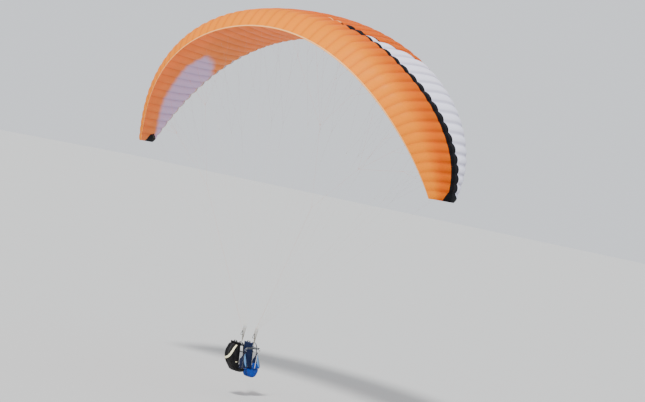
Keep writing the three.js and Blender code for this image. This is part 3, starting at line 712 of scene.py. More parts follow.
def sail_material(name, looks, lower=False):
    """Coated ripstop that lets light through, with the wing's panels and seams, painted shade
    beside the seams and, on the upper sail, a painted highlight towards the trailing edge.
    """
    material, graph, place = new_material(name)
    # The lower sail's base colour holds a painted glow of the light through both skins
    base = looks.under if lower else looks.main
    cloudy = stepped(graph, noise(graph, place, 1.3), 0.3, 0.7)
    cloth = mixed(graph, cloudy, base, darker(base, 0.9))
    chord_share = cloth_value(graph, "chord_share")
    if not lower:
        # Painted highlight towards the trailing edge, where the bent-down flap faces the light
        cloth = mixed(graph, stepped(graph, chord_share, 0.62, 0.98), cloth, looks.trailing)
    behind_front = cloth_value(graph, "behind_front")
    behind_stripe = cloth_value(graph, "behind_stripe")
    # The lower sail's wedge gets broad soft edges: a painted shade gradient
    front_blur, rear_blur = (0.16, 0.12) if lower else (CLEAN_BORDER, CLEAN_BORDER)
    ahead = past(graph, graph.math("SUBTRACT", 0.0, behind_stripe), rear_blur)
    wedge = graph.math("MULTIPLY", past(graph, behind_front, front_blur), ahead)
    cloth = mixed(graph, wedge, cloth, looks.shaded_lower_accent if lower else looks.accent)
    if not lower:
        started = past(graph, cloth_value(graph, "past_start"))
        stripe = mixed(graph, started, looks.stripe_start, looks.stripe)
        cloth = mixed(graph, within(graph, "stripe_half", behind_stripe), cloth, stripe)
        cloth = mixed(graph, within(graph, "line_half", behind_front), cloth, looks.stripe)
    cloth = mixed(graph, past(graph, cloth_value(graph, "past_tip")), cloth, looks.stripe)

    seam, width = cloth_value(graph, "from_seam"), looks.seam_width
    fold = stepped(graph, seam, width * 0.4, width * 0.6, 1.0, 0.0)
    # Painted shade: the cloth darkens beside each seam as if the bulging cells shaded it, more near
    # the front and less towards the trailing edge
    shade = stepped(graph, seam, width * 0.6, width * 8, 0.2 if lower else 0.5, 0.0)
    shade = graph.math("MULTIPLY", shade, stepped(graph, chord_share, 0.4, 0.95, 1.0, 0.4))
    # The seam's own darker fold, and the painted shade beside it; the tint is redder on the orange
    # and greyish mauve on the white wedge
    fold_and_shade = graph.math("MAXIMUM", graph.math("MULTIPLY", fold, 0.5), shade)
    fold_and_shade_tint = mixed(graph, wedge, (0.6, 0.3, 0.2), (0.4, 0.38, 0.46))
    cloth = mixed(graph, fold_and_shade, cloth, graph.vector("MULTIPLY", cloth, fold_and_shade_tint))

    threads = graph.math("MULTIPLY", ripstop_height(graph), 0.1)
    height = graph.math("ADD", threads, noise(graph, place, 9.0, 4.0))
    height = graph.math("ADD", height, graph.math("MULTIPLY", fold, 0.8))
    inputs = {
        "Base Color": cloth,
        "Roughness": stepped(graph, noise(graph, place, 3.1), 0.3, 0.7, 0.42, 0.56),
        "Normal": bumped(graph, height, 0.35, 0.004),
        "Specular IOR Level": 0.12,
    }
    passing = graph.math("SUBTRACT", 1.0, graph.math("MULTIPLY", wedge, 0.6))
    through = looks.see_through * (0.65 if lower else 1.0)
    return end_material(material, graph, inputs, graph.math("MULTIPLY", passing, through))


def tape_material(name, front, rear, border=0.0):
    """Folded ripstop of two colours, one ahead of the border on X and one behind it."""
    material, graph, place = new_material(name)
    ahead = past(graph, graph.math("SUBTRACT", graph.split(place)[0], border))
    cloth = mixed(graph, ahead, rear, front)
    cloth = mixed(graph, noise(graph, place, 5.0), cloth, graph.scale(cloth, 0.82))
    normal = bumped(graph, noise(graph, place, 60.0), 0.3, 0.002)
    inputs = {"Base Color": cloth, "Roughness": 0.6, "Normal": normal}
    return end_material(material, graph, inputs, 0.2)


def rib_material(looks):
    """The plain ripstop of the ribs inside the cells."""
    material, graph, place = new_material("rib cloth")
    inputs = {
        "Base Color": mixed(graph, noise(graph, place, 4.0), looks.main, looks.trailing),
        "Roughness": stepped(graph, noise(graph, place, 12.0), 0.3, 0.7, 0.5, 0.65),
    }
    return end_material(material, graph, inputs, 0.35)


def woven_material(
    name, paint, pitch=0.0016, depth=0.5, rough=0.75, wear=0.12, below=None, border=0.0
):
    """Plain-woven pack cloth with soft colour changes and wear.

    below is its other colour, under the border's height.
    """
    material, graph, place = new_material(name)
    waves = {"Vector": place, "Scale": WAVE_SCALE / pitch, "Distortion": 0.6, "Detail": 1.0}
    bands = [graph.node("ShaderNodeTexWave", waves, bands_direction=axis) for axis in "XZ"]
    threads = graph.math("MULTIPLY", *(node.outputs["Fac"] for node in bands))
    threads = graph.math("MULTIPLY", threads, 0.3)
    cloudy = stepped(graph, noise(graph, place, 7.0, 5.0), 0.3, 0.75)
    light = faded(paint, 0.5, wear * 0.3)
    cloth = mixed(graph, graph.math("MULTIPLY", cloudy, 0.5), paint, light)
    if below:
        above = past(graph, graph.math("SUBTRACT", graph.split(place)[2], border))
        cloth = mixed(graph, above, below, cloth)
    cloth = mixed(graph, threads, cloth, graph.scale(cloth, 0.45))
    height = graph.math("ADD", threads, noise(graph, place, 22.0, 3.0))
    inputs = {
        "Base Color": cloth,
        "Roughness": stepped(graph, cloudy, 0.0, 1.0, rough, rough - 0.12),
        "Normal": bumped(graph, height, depth, 0.0025),
        "Specular IOR Level": 0.14,
    }
    return end_material(material, graph, inputs)


def webbing_material(name, paint):
    """Ribbed webbing, its ribs across the band, from the UV map in metres."""
    material, graph, place = new_material(name)
    across, along, _ = graph.split(graph.add("ShaderNodeUVMap"))
    ribs = graph.math("SINE", graph.math("MULTIPLY", along, 2 * math.pi / WEBBING_RIB))
    strands = graph.math("SINE", graph.math("MULTIPLY", across, 2 * math.pi / WEBBING_STRAND))
    height = graph.math("ADD", ribs, graph.math("MULTIPLY", strands, 0.6))
    cloudy = noise(graph, place, 25.0, 4.0)
    inputs = {
        "Base Color": mixed(
            graph, graph.math("MULTIPLY", cloudy, 0.5), paint, faded(paint, 0.6, 0.06)
        ),
        "Roughness": stepped(graph, cloudy, 0.3, 0.7, 0.62, 0.8),
        "Normal": bumped(graph, height, 0.5, 0.0006),
        "Specular IOR Level": 0.25,
    }
    return end_material(material, graph, inputs)


def cord_material(name, paint):
    """Braided line sheath: slanted strands along the line."""
    material, graph, place = new_material(name)
    around, along, _ = graph.split(graph.add("ShaderNodeUVMap"))
    turning = graph.math("MULTIPLY", around, BRAID_SLANT)
    slanted = graph.math("ADD", graph.math("MULTIPLY", along, 2 * math.pi / BRAID_PITCH), turning)
    inputs = {
        "Base Color": mixed(graph, noise(graph, place, 3.0), paint, darker(paint, 0.7)),
        "Roughness": 0.6,
        "Normal": bumped(graph, graph.math("SINE", slanted), 0.3, 0.0002),
    }
    return end_material(material, graph, inputs)


def metal_material(name):
    """Anodised or polished alloy with fine brushing and worn spots."""
    paint, rough = METALS[name]
    material, graph, place = new_material(name)
    streaks = noise(graph, graph.vector("MULTIPLY", place, (40.0, 40.0, 400.0)), 1.0, 2.0)
    spots = stepped(graph, noise(graph, place, 140.0, 6.0), 0.64, 0.74)
    inputs = {
        "Base Color": mixed(graph, graph.math("MULTIPLY", spots, 0.25), paint, WORN_METAL),
        "Metallic": 1.0,
        "Roughness": stepped(graph, streaks, 0.2, 0.8, rough - 0.08, rough + 0.12),
        "Normal": bumped(graph, streaks, 0.15, 0.0003),
    }
    return end_material(material, graph, inputs)


def plastic_material(name, paint):
    """Moulded plastic with a fine grain."""
    material, graph, place = new_material(name)
    grain = noise(graph, place, 900.0, 2.0)
    inputs = {
        "Base Color": mixed(graph, noise(graph, place, 30.0), paint, faded(paint, 1, 0.06)),
        "Roughness": stepped(graph, grain, 0.3, 0.7, 0.38, 0.5),
        "Normal": bumped(graph, grain, 0.2, 0.0002),
    }
    return end_material(material, graph, inputs)


def thread_material(paint):
    material, graph, place = new_material("thread")
    cotton = mixed(graph, noise(graph, place, 200.0), paint, darker(paint, 0.6))
    return end_material(material, graph, {"Base Color": cotton, "Roughness": 0.7})


# The wing's shape


def rib_height(place, skin):
    """Height above the chord line as a share of the chord; skin is 1 above and -1 below."""
    half = 0.2969 * np.sqrt(place) - 0.126 * place - 0.3516 * place**2
    half = 5 * THICKNESS * (half + 0.2843 * place**3 - 0.1036 * place**4)
    front = CAMBER / CAMBER_PLACE**2 * (2 * CAMBER_PLACE * place - place**2)
    rear = CAMBER / (1 - CAMBER_PLACE) ** 2 * (
        1 - 2 * CAMBER_PLACE + 2 * CAMBER_PLACE * place - place**2
    )
    bend = np.clip((place - BRAKE_HINGE) / (1 - BRAKE_HINGE), 0, None) ** BRAKE_CURVE
    return np.where(place < CAMBER_PLACE, front, rear) + skin * half - BRAKE_DROP * bend


ORIGIN_HEIGHT = -float(rib_height(LIFT_PLACE, -1)) * ROOT_CHORD
HANG = Vector((-HANG_BACK, 0, ORIGIN_HEIGHT - LINE_DROP))
SHACKLE_TOP = HANG.z + RISER_LENGTH
HANDLE_TOP = SHACKLE_TOP - HANDLE_DROP
BRAKE_X = HANG.x + SHACKLE_X["c"] - HANDLE_BEHIND


def angle_of(place, skin=1):
    """The angle round a rib: 0 at the nose, pi at the trailing edge above and -pi below."""
    return skin * np.arccos(1 - 2 * np.asarray(place, dtype=float))


def rib_point(angle):
    place = (1 - np.cos(angle)) / 2
    return np.stack(
        [LIFT_PLACE - place, rib_height(place, np.where(angle < 0, -1.0, 1.0))], axis=-1
    )


def rib_outward(angle):
    """The outward direction of the cloth at an angle round a rib."""
    step = 1e-3
    along = rib_point(np.minimum(angle + step, np.pi)) - rib_point(np.maximum(angle - step, -np.pi))
    along /= np.linalg.norm(along, axis=-1, keepdims=True)
    return np.stack([along[..., 1], -along[..., 0]], axis=-1)


def slope_at(reach):
    return ARC_TIP_ANGLE * (ARC_LINEAR_SHARE * reach + (1 - ARC_LINEAR_SHARE) * reach**3)


ARC_STEPS = 200
ARC_SLOPES = slope_at((np.arange(ARC_STEPS) + 0.5) / ARC_STEPS)
ARC_ACROSS = np.concatenate([[0], np.cumsum(np.cos(ARC_SLOPES))]) * HALF_SPAN / ARC_STEPS
ARC_HEIGHT = np.concatenate([[0], np.cumsum(-np.sin(ARC_SLOPES))]) * HALF_SPAN / ARC_STEPS


def chord_at(span):
    return ROOT_CHORD * (1 - (1 - TIP_CHORD_RATIO) * np.abs(span) ** CHORD_POWER)


def turned(span, forward, up):
    """A direction in a rib's plane, as the rib stands at that signed share of the half span."""
    reach, side = np.abs(span), np.sign(span)
    slope, twist = slope_at(reach) * side, TIP_TWIST * reach**2
    outward = up * np.cos(twist) + forward * np.sin(twist)
    level = forward * np.cos(twist) - up * np.sin(twist)
    return np.stack(
        np.broadcast_arrays(level, outward * np.sin(slope), outward * np.cos(slope)), axis=-1
    )


def placed(span, forward, up):
    """A point of a rib's plane, counted from the rib's lift point, placed in the wing."""
    reach, side = np.abs(span), np.sign(span)
    steps = np.linspace(0, 1, ARC_STEPS + 1)
    back = LIFT_PLACE * (ROOT_CHORD - chord_at(span)) - TIP_SWEEP * reach**SWEEP_POWER
    across = np.interp(reach, steps, ARC_ACROSS) * side
    height = ORIGIN_HEIGHT + np.interp(reach, steps, ARC_HEIGHT)
    return np.stack([back, across, height], axis=-1) + turned(span, forward, up)


def seam_share(seam):
    part = seam / CELLS
    return part * (1 + TIP_CELL_NARROWING) - TIP_CELL_NARROWING * part**3


def on_rib(span, angle, lift=0.0):
    """Points of the cloth at a seam, lifted off it."""
    point, outward = rib_point(angle), rib_outward(angle)
    place = (1 - np.cos(angle)) / 2
    chord = chord_at(span)
    forward = point[..., 0] * chord + outward[..., 0] * lift
    tail = np.sign(angle) * TRAILING_HALF * place**TAIL_POWER
    return placed(span, forward, point[..., 1] * chord + outward[..., 1] * lift + tail)


PER_CELL = 10


def stations():
    """Columns from the right tip to the left.

    Each has its share of the half span, its place in the cell and the cell's width.
    """
    count = np.arange(-CELLS * PER_CELL, CELLS * PER_CELL + 1) / PER_CELL
    reach = np.abs(count)
    cell = np.minimum(np.floor(reach + 1e-9), CELLS - 1)
    across = np.clip(reach - cell, 0, 1)
    low, high = seam_share(cell), seam_share(cell + 1)
    return np.sign(count) * (low + (high - low) * across), across, (high - low) * HALF_SPAN


# The wing's colours, each row a share of the half span and what holds there

STRIPE_MIDDLE = (
    (0.2, 0.655), (0.36, 0.62), (0.5, 0.582), (0.63, 0.52), (0.76, 0.445), (0.88, 0.355), (1, 0.285)
)
STRIPE_HALF_WIDTH = (
    (0.12, -0.02), (0.14, 0.02), (0.23, 0.04), (0.255, 0.13), (0.285, 0.14), (0.32, 0.058),
    (0.36, 0.062), (0.5, 0.09), (0.7, 0.126), (1, 0.155),
)
WEDGE_FRONT = (
    (0.26, 0.68), (0.29, 0.63), (0.353, 0.53), (0.4, 0.4), (0.44, 0.25), (0.47, 0.1), (0.5, -0.05),
    (1, -0.05),
)
UNDER_WEDGE_REAR = (
    (0.518, 0.49), (0.564, 0.534), (0.614, 0.58), (0.8, 0.565), (0.854, 0.513), (0.907, 0.414),
    (1, 0.14),
)
STRIPE_START_END = 0.212
SCALLOP = 0.2  # how far the stripe draws in at the seams, as a share of its width
EDGE_LINE_HALF_WIDTH = ((0.26, -0.02), (0.29, 0.03), (0.36, 0.034), (0.38, 0.014), (1, 0.014))
# Each of these rows is a share of the chord and the share of the half span from where it holds
UNDER_WEDGE_START = (
    (0, 0.65), (0.146, 0.614), (0.216, 0.58), (0.317, 0.547), (0.49, 0.518), (1, 0.518)
)
TIP_BORDER = -0.38  # on X, where the black of a tip's wall ends
TIP_START = (
    (0, 0.99), (0.15, 0.975), (0.3, 0.962), (0.45, 0.97), (0.55, 0.985), (0.66, 1.02), (1, 1.02)
)


def read_table(table, share):
    return np.interp(share, *zip(*table))


def paint_fields(span, across, width, place, lower):
    """How far each point lies from the borders of the wing's colours, in metres."""
    chord, reach = chord_at(span), np.abs(span)
    fields = {
        "chord_share": place,
        "from_seam": np.minimum(across, 1 - across) * width,
        "past_tip": (reach - read_table(TIP_START, place)) * HALF_SPAN,
    }
    if lower:
        fields["behind_front"] = (reach - read_table(UNDER_WEDGE_START, place)) * HALF_SPAN
        fields["behind_stripe"] = (place - read_table(UNDER_WEDGE_REAR, reach)) * chord
    else:
        fields["behind_front"] = (place - read_table(WEDGE_FRONT, reach)) * chord
        fields["behind_stripe"] = (place - read_table(STRIPE_MIDDLE, reach)) * chord
        scallop = 1 - SCALLOP + SCALLOP * np.sin(np.pi * across) ** 0.8
        fields["stripe_half"] = read_table(STRIPE_HALF_WIDTH, reach) * scallop
        fields["past_start"] = (reach - STRIPE_START_END) * HALF_SPAN
        fields["line_half"] = read_table(EDGE_LINE_HALF_WIDTH, reach)
    return fields


def cloth_strip(name, blocks, looks, material, lower=False, lift=0.0):
    """Cloth over the cells, from blocks of columns and of angles that grow round the ribs."""
    span, across, width = stations()
    vertices, faces, stored = [], [], {}
    for columns, angle in blocks:
        s, a, w = (values[columns, None] for values in (span, across, width))
        angle = angle[None, :]
        place = (1 - np.cos(angle)) / 2
        where = on_rib(s, angle, lift)
        shape = where.shape[:2]
        faces += grid_faces(*shape, start=len(vertices))
        vertices += where.reshape(-1, 3).tolist()
        outward = rib_outward(angle)
        swell = CELL_BULGE * w * np.minimum(1, (1 - place) / FLAT_TAIL) ** 0.7
        values = {"across": a, "swell": swell, **paint_fields(s, a, w, place, lower)}
        values["outward"] = turned(s, outward[..., 0], outward[..., 1])
        values["u"] = s * HALF_SPAN
        values["v"] = (LIFT_PLACE - rib_point(angle)[..., 0]) * chord_at(s)
        for label, field in values.items():
            full = np.broadcast_to(field, (*shape, 3) if label == "outward" else shape)
            stored.setdefault(label, []).append(
                full.reshape(-1, 3) if label == "outward" else full.ravel()
            )
    piece = add_mesh(name, vertices, faces)
    stored = {label: np.concatenate(parts) for label, parts in stored.items()}
    keep_uv(piece, stored.pop("u"), stored.pop("v"))
    keep(piece, "outward", stored.pop("outward"), "FLOAT_VECTOR")
    for label, field in stored.items():
        keep(piece, label, field)
    values = {
        "Fullness": 1.0, "Pucker": looks.pucker, "Pucker size": 0.09, "Seed": 3.0,
        "Material": material,
    }
    piece = run_tree(name, piece, blown_cells_tree(), values)
    cleaned(piece, 1e-5, turn=False)
    return piece


CANOPY_NODES = [f"canopy_{side}_{k}" for side in SIDES for k in range(1, 6)]
ALL_COLUMNS = slice(None)
CLOSED_CELLS = (slice(0, PER_CELL + 1), slice(-PER_CELL - 1, None))  # one at each tip
OPEN_CELLS = slice(PER_CELL, -PER_CELL)
HEM_PLACES = (0.994, 0.997, 1.0)
LIP_TURN = 0.045  # of an angle round the rib, about 3 mm of cloth at the nose
TAPE_LIFT = 0.0012


class PARAGLIDER_OT_sails(bpy.types.Operator):
    """Sews the upper and the lower sail and the tapes along their edges"""

    bl_idname = "paraglider.sails"
    bl_label = "Sails"

    def execute(self, context):
        looks = context.scene.paraglider_sails
        top, bottom = angle_of(INLET_TOP, -1), angle_of(INLET_BOTTOM, -1)
        # The last point of the upper sail closes the trailing edge
        upper = [(ALL_COLUMNS, np.append(np.linspace(top, np.pi, 58), -np.pi))]
        upper += [(cell, np.linspace(bottom, top, 4)) for cell in CLOSED_CELLS]
        lower = [(ALL_COLUMNS, np.linspace(-np.pi, bottom, 48))]
        lips = [
            (OPEN_CELLS, np.array(ends))
            for ends in ((top, top + LIP_TURN), (bottom - LIP_TURN, bottom))
        ]
        upper_cloth, lower_cloth = sail_material("upper sail", looks), sail_material(
            "lower sail", looks, True
        )
        tape = tape_material("edge tape", looks.tape, looks.tape)
        upper_sail = cloth_strip("upper_sail", upper, looks, upper_cloth)
        lower_sail = cloth_strip("lower_sail", lower, looks, lower_cloth, True)
        for sail in (upper_sail, lower_sail):
            finish_piece(sail, "wing_and_lines", replaced=CANOPY_NODES)
        hem = cloth_strip(
            "trailing_hem", [(ALL_COLUMNS, angle_of(HEM_PLACES))], looks, tape, lift=TAPE_LIFT
        )
        edging = cloth_strip("inlet_lips", lips, looks, tape, True, lift=TAPE_LIFT)
        for strip in (hem, edging):
            finish_piece(strip, "wing_and_lines")
        return {"FINISHED"}


RIB_ANGLES = np.linspace(-np.pi, np.pi, 81)
RIB_TAIL_HALF = 0.0008  # of a rib of one metre chord
# Each port: its place along the chord, half its length and half its height
CROSS_PORTS = (
    (0.14, 0.028, 0.033), (0.235, 0.03, 0.045), (0.42, 0.035, 0.04), (0.52, 0.03, 0.033),
    (0.68, 0.03, 0.02),
)


def unit_rib():
    """A rib of one metre chord, from its lift point, with its cross-ports cut out."""
    place = (1 - np.cos(RIB_ANGLES)) / 2
    tail = np.sign(RIB_ANGLES) * RIB_TAIL_HALF * place**TAIL_POWER
    loops = [[(x, 0, z + rise) for (x, z), rise in zip(rib_point(RIB_ANGLES), tail)]]
    for middle, half, tall in CROSS_PORTS:
        x, z = LIFT_PLACE - middle, float(rib_height(middle, 0))
        loops.append([(a, 0, b) for a, b in oval(x, z, half, tall, 12)])
    work = bmesh.new()
    fill_outline(work, loops)
    return add_built("unit_rib", work)


def unit_tip():
    """The closed wall of a tip, of one metre chord."""
    points = [(x, 0, z) for x, z in rib_point(RIB_ANGLES)]
    return add_mesh("unit_tip", points, [tuple(range(len(points)))], smooth=False)


def rib_frames(seams):
    """Where ribs stand: their lift points, turns and chords."""
    spans = [
        side * float(seam_share(seam)) for seam in seams for side in ((1, -1) if seam else (1,))
    ]
    points = [tuple(placed(s, 0.0, 0.0)) for s in spans]
    turns = [turn_of(turned(s, 1.0, 0.0), turned(s, 0.0, 1.0)) for s in spans]
    return points, turns, [float(chord_at(s)) for s in spans]


class PARAGLIDER_OT_ribs(bpy.types.Operator):
    """Stands a rib on each seam between the cells and closes the tips"""

    bl_idname = "paraglider.ribs"
    bl_label = "Ribs"

    def execute(self, context):
        looks = context.scene.paraglider_sails
        inner = place_copies(
            "cell_ribs", unit_rib(), *rib_frames(range(CELLS)), rib_material(looks)
        )
        finish_piece(inner, "wing_and_lines")
        tip_cloth = tape_material("tip cloth", looks.stripe, looks.main, TIP_BORDER)
        tips = place_copies("tip_walls", unit_tip(), *rib_frames([CELLS]), tip_cloth)
        finish_piece(tips, "wing_and_lines")
        return {"FINISHED"}


# Lines

ROW_PLACE = {"a": 0.11, "b": 0.33, "c": 0.58, "tip": 0.33, "brake": 1.0}
# Each line: row, number, the seams that its branches hold, and where it forks on its way up
LINE_TABLE = (
    ("a", 1, (1, 4, 6), 0.7), ("a", 2, (8, 11, 13), 0.7), ("a", 3, (16, 18, 21), 0.7),
    ("b", 1, (1, 4, 6), 0.7), ("b", 2, (8, 11, 13), 0.7), ("b", 3, (16, 18, 21), 0.7),
    ("c", 1, (1, 4, 6), 0.7), ("c", 2, (8, 11, 13), 0.7), ("c", 3, (16, 18, 21), 0.7),
    ("tip", 4, (23, 24), 0.86), ("brake", 0, (3, 6, 9, 12, 14, 17, 19, 22), 0.55),
)
BRAKE_UPPER_FORK = 0.55
LEAF_FORK = 0.74  # where a leaf line parts to its two seams
TAB_LENGTH = 0.0215
TAB_OVERLAP = 0.001  # how far a line's end reaches into its tab
SPLICE = 0.06
SPLICE_SWELL = 1.5


def seam_point(side, seam, row):
    return Vector(on_rib(side * float(seam_share(seam)), angle_of(ROW_PLACE[row], -1)))


class Tubes:
    """Thin round tubes gathered into one mesh, with a UV map in metres."""

    def __init__(self, sides=6):
        self.sides = sides
        self.vertices, self.faces, self.around, self.run = [], [], [], []

    def add(self, route, radii):
        along = (route[-1] - route[0]).normalized()
        side = along.orthogonal().normalized()
        face = along.cross(side)
        start, run = len(self.vertices), 0.0
        for k, (point, radius) in enumerate(zip(route, radii)):
            run += (point - route[k - 1]).length if k else 0
            for turn in turns_of(self.sides):
                self.vertices.append(
                    point + (side * math.cos(turn) + face * math.sin(turn)) * radius
                )
                self.around.append(turn * radius)
                self.run.append(run)
        self.faces += flipped(tube_faces(len(route), self.sides, start))

    def line(self, start, end, radius):
        """A line with a sewn splice, thicker than the rest, at each end."""
        along = (end - start).normalized()
        reach = min(SPLICE, (end - start).length / 3)
        stops = [0, reach * 0.85, reach]
        radii = [radius * SPLICE_SWELL, radius * SPLICE_SWELL, radius]
        route = [start + along * at for at in stops] + [end - along * at for at in stops[::-1]]
        self.add(route, radii + radii[::-1])

    def piece(self, name):
        made = add_mesh(name, self.vertices, self.faces)
        keep_uv(made, self.around, self.run)
        return made


def leaf_lines(tubes, tabs, side, row, seam, fork, looks):
    """A line from a fork to its seam, parting near the top to the next seam as well."""
    top = seam_point(side, seam, row)
    seams = (seam,) if row == "tip" else (seam, seam + 1)
    split = fork
    if len(seams) > 1:
        split = fork.lerp(top, LEAF_FORK)
        tubes.line(fork, split, looks.middle_radius)
    for held in seams:
        point = seam_point(side, held, row)
        along = (point - split).normalized()
        tubes.line(split, point - along * (TAB_LENGTH - TAB_OVERLAP), looks.upper_radius)
        tabs.append((point, along, side * float(seam_share(held))))


def line_tree(tubes, tabs, side, row, number, seams, share, looks):
    """One line from its foot to the seams that it holds."""

    def middle_of(held):
        points = [seam_point(side, seam, row) for seam in held]
        return sum(points, Vector()) / len(points)

    if row == "brake":
        foot = Vector((BRAKE_X, side * HANG_HALF_WIDTH, HANDLE_TOP))
    else:
        x = HANG.x + SHACKLE_X["b" if row == "tip" else row]
        apart = (number - 2.5) * MAIN_SPACING
        foot = Vector((x, side * (HANG_HALF_WIDTH + apart), SHACKLE_TOP))
    knot = foot.lerp(middle_of(seams), share)
    tubes.line(foot, knot, looks.main_radius)
    for group in (seams[:4], seams[4:]) if row == "brake" else (seams,):
        fork = knot
        if row == "brake":
            fork = knot.lerp(middle_of(group), BRAKE_UPPER_FORK)
            tubes.line(knot, fork, looks.middle_radius)
        for seam in group:
            leaf_lines(tubes, tabs, side, row, seam, fork, looks)


def unit_tab(width):
    """A folded tape that hangs from the origin, wide along X."""
    down = [(0.0016, 0.003), (0.0018, -0.012), (0.0014, -0.0185), (0, -TAB_LENGTH)]
    route = down + [(-y, z) for y, z in down[-2::-1]]
    half, thin = width / 2, 0.0004
    section = [(-half, -thin), (half, -thin), (half, thin), (-half, thin)]
    return swept("unit_tab", [Vector((0, y, z)) for y, z in route], section, FORWARD)


class PARAGLIDER_OT_lines(bpy.types.Operator):
    """Strings the line cascades between the risers and the lower sail"""

    bl_idname = "paraglider.lines"
    bl_label = "Lines"

    def execute(self, context):
        looks = context.scene.paraglider_lines
        sheath, brake = cord_material(
            "line sheath", looks.sheath
        ), cord_material("brake sheath", looks.brake)
        tabs = []
        for side_name, side in SIDES.items():
            for row in ROW_PLACE:
                tubes, nodes = Tubes(), []
                for line_row, number, seams, share in LINE_TABLE:
                    if line_row == row:
                        line_tree(tubes, tabs, side, row, number, seams, share, looks)
                        nodes.append(f"line_{row}{number if row in 'abc' else ''}_{side_name}")
                piece = tubes.piece(f"{row}_lines_{side_name}")
                finish_piece(
                    piece, "wing_and_lines", brake if row == "brake" else sheath, nodes
                )
        points = [tuple(point) for point, _, _ in tabs]
        turns = [turn_of(turned(span, 1.0, 0.0), along) for _, along, span in tabs]
        tape = webbing_material("tab tape", looks.tab)
        tab = place_copies(
            "line_tabs", unit_tab(looks.tab_width), points, turns, [1.0] * len(tabs), tape
        )
        finish_piece(tab, "wing_and_lines")
        return {"FINISHED"}


# Risers, carabiners, brake handles and spreader bars

LOOP_INNER = ROD_RADIUS + 0.0004
LOOP_TURNS = [math.radians(35 + 290 * k / 12) for k in range(13)]  # of the band round its bar
HARNESS_LOOP_WIDTH = 0.024
RISER_WIDTH, RISER_THICKNESS = 0.022, 0.0026
RISER_PITCH = 0.003  # between the straps where they lie on each other
RISER_SPREAD = 0.8  # below 1, the straps part early
RISER_HEAD = SHACKLE_TOP - SHACKLE_HEIGHT + 0.0035
LINK_ROD = 0.0026
LINK_HALF, LINK_HEIGHT = 0.013, SHACKLE_HEIGHT - 0.003
HANDLE_CORNERS = (
    (0, -0.012), (0.0385, -0.12), (0.021, -0.1325), (-0.021, -0.1325), (-0.0385, -0.12),
)
SLEEVE_RADIUS = 0.0076
KNURLS = 16
BAR_END, BAR_CREST = 0.022, 0.014  # a bar's end radius, and half of its flat middle
EYES = ((-BAR_REACH, -BAR_DROP), (0, 0), (BAR_REACH, -BAR_DROP))
EYE_RADIUS = 0.0085
SLOT_PLACES = (0.1, 0.19)
# A bush's profile from its bore outwards: radius and half width
BUSH_PROFILE = ((LOOP_INNER, 0.0046), (0.0105, 0.0046), (0.011, 0.0041), (0.0086, 0.0038))


def hung_loop(name, centre, width, thickness, inner, tail, twist=None):
    """Webbing round a bar along Y at centre, its two ends together along the tail's points.

    twist gives the direction of the webbing's width at each point of the tail.
    """
    widths = twist or [ACROSS] * len(tail)
    away = (tail[0] - centre).normalized()
    side = ACROSS.cross(away).normalized()
    wall = inner + thickness / 2
    bend = [centre + (away * math.cos(t) + side * math.sin(t)) * wall for t in LOOP_TURNS]
    beside = [w.cross(away).normalized() * thickness * 0.52 for w in widths]
    up = [p + b for p, b in zip(tail, beside)]
    down = [p - b for p, b in zip(tail, beside)]
    sideways = widths[::-1] + [ACROSS] * len(bend) + widths
    return swept(name, up[::-1] + bend + down, flat_section(width, thickness), sideways)


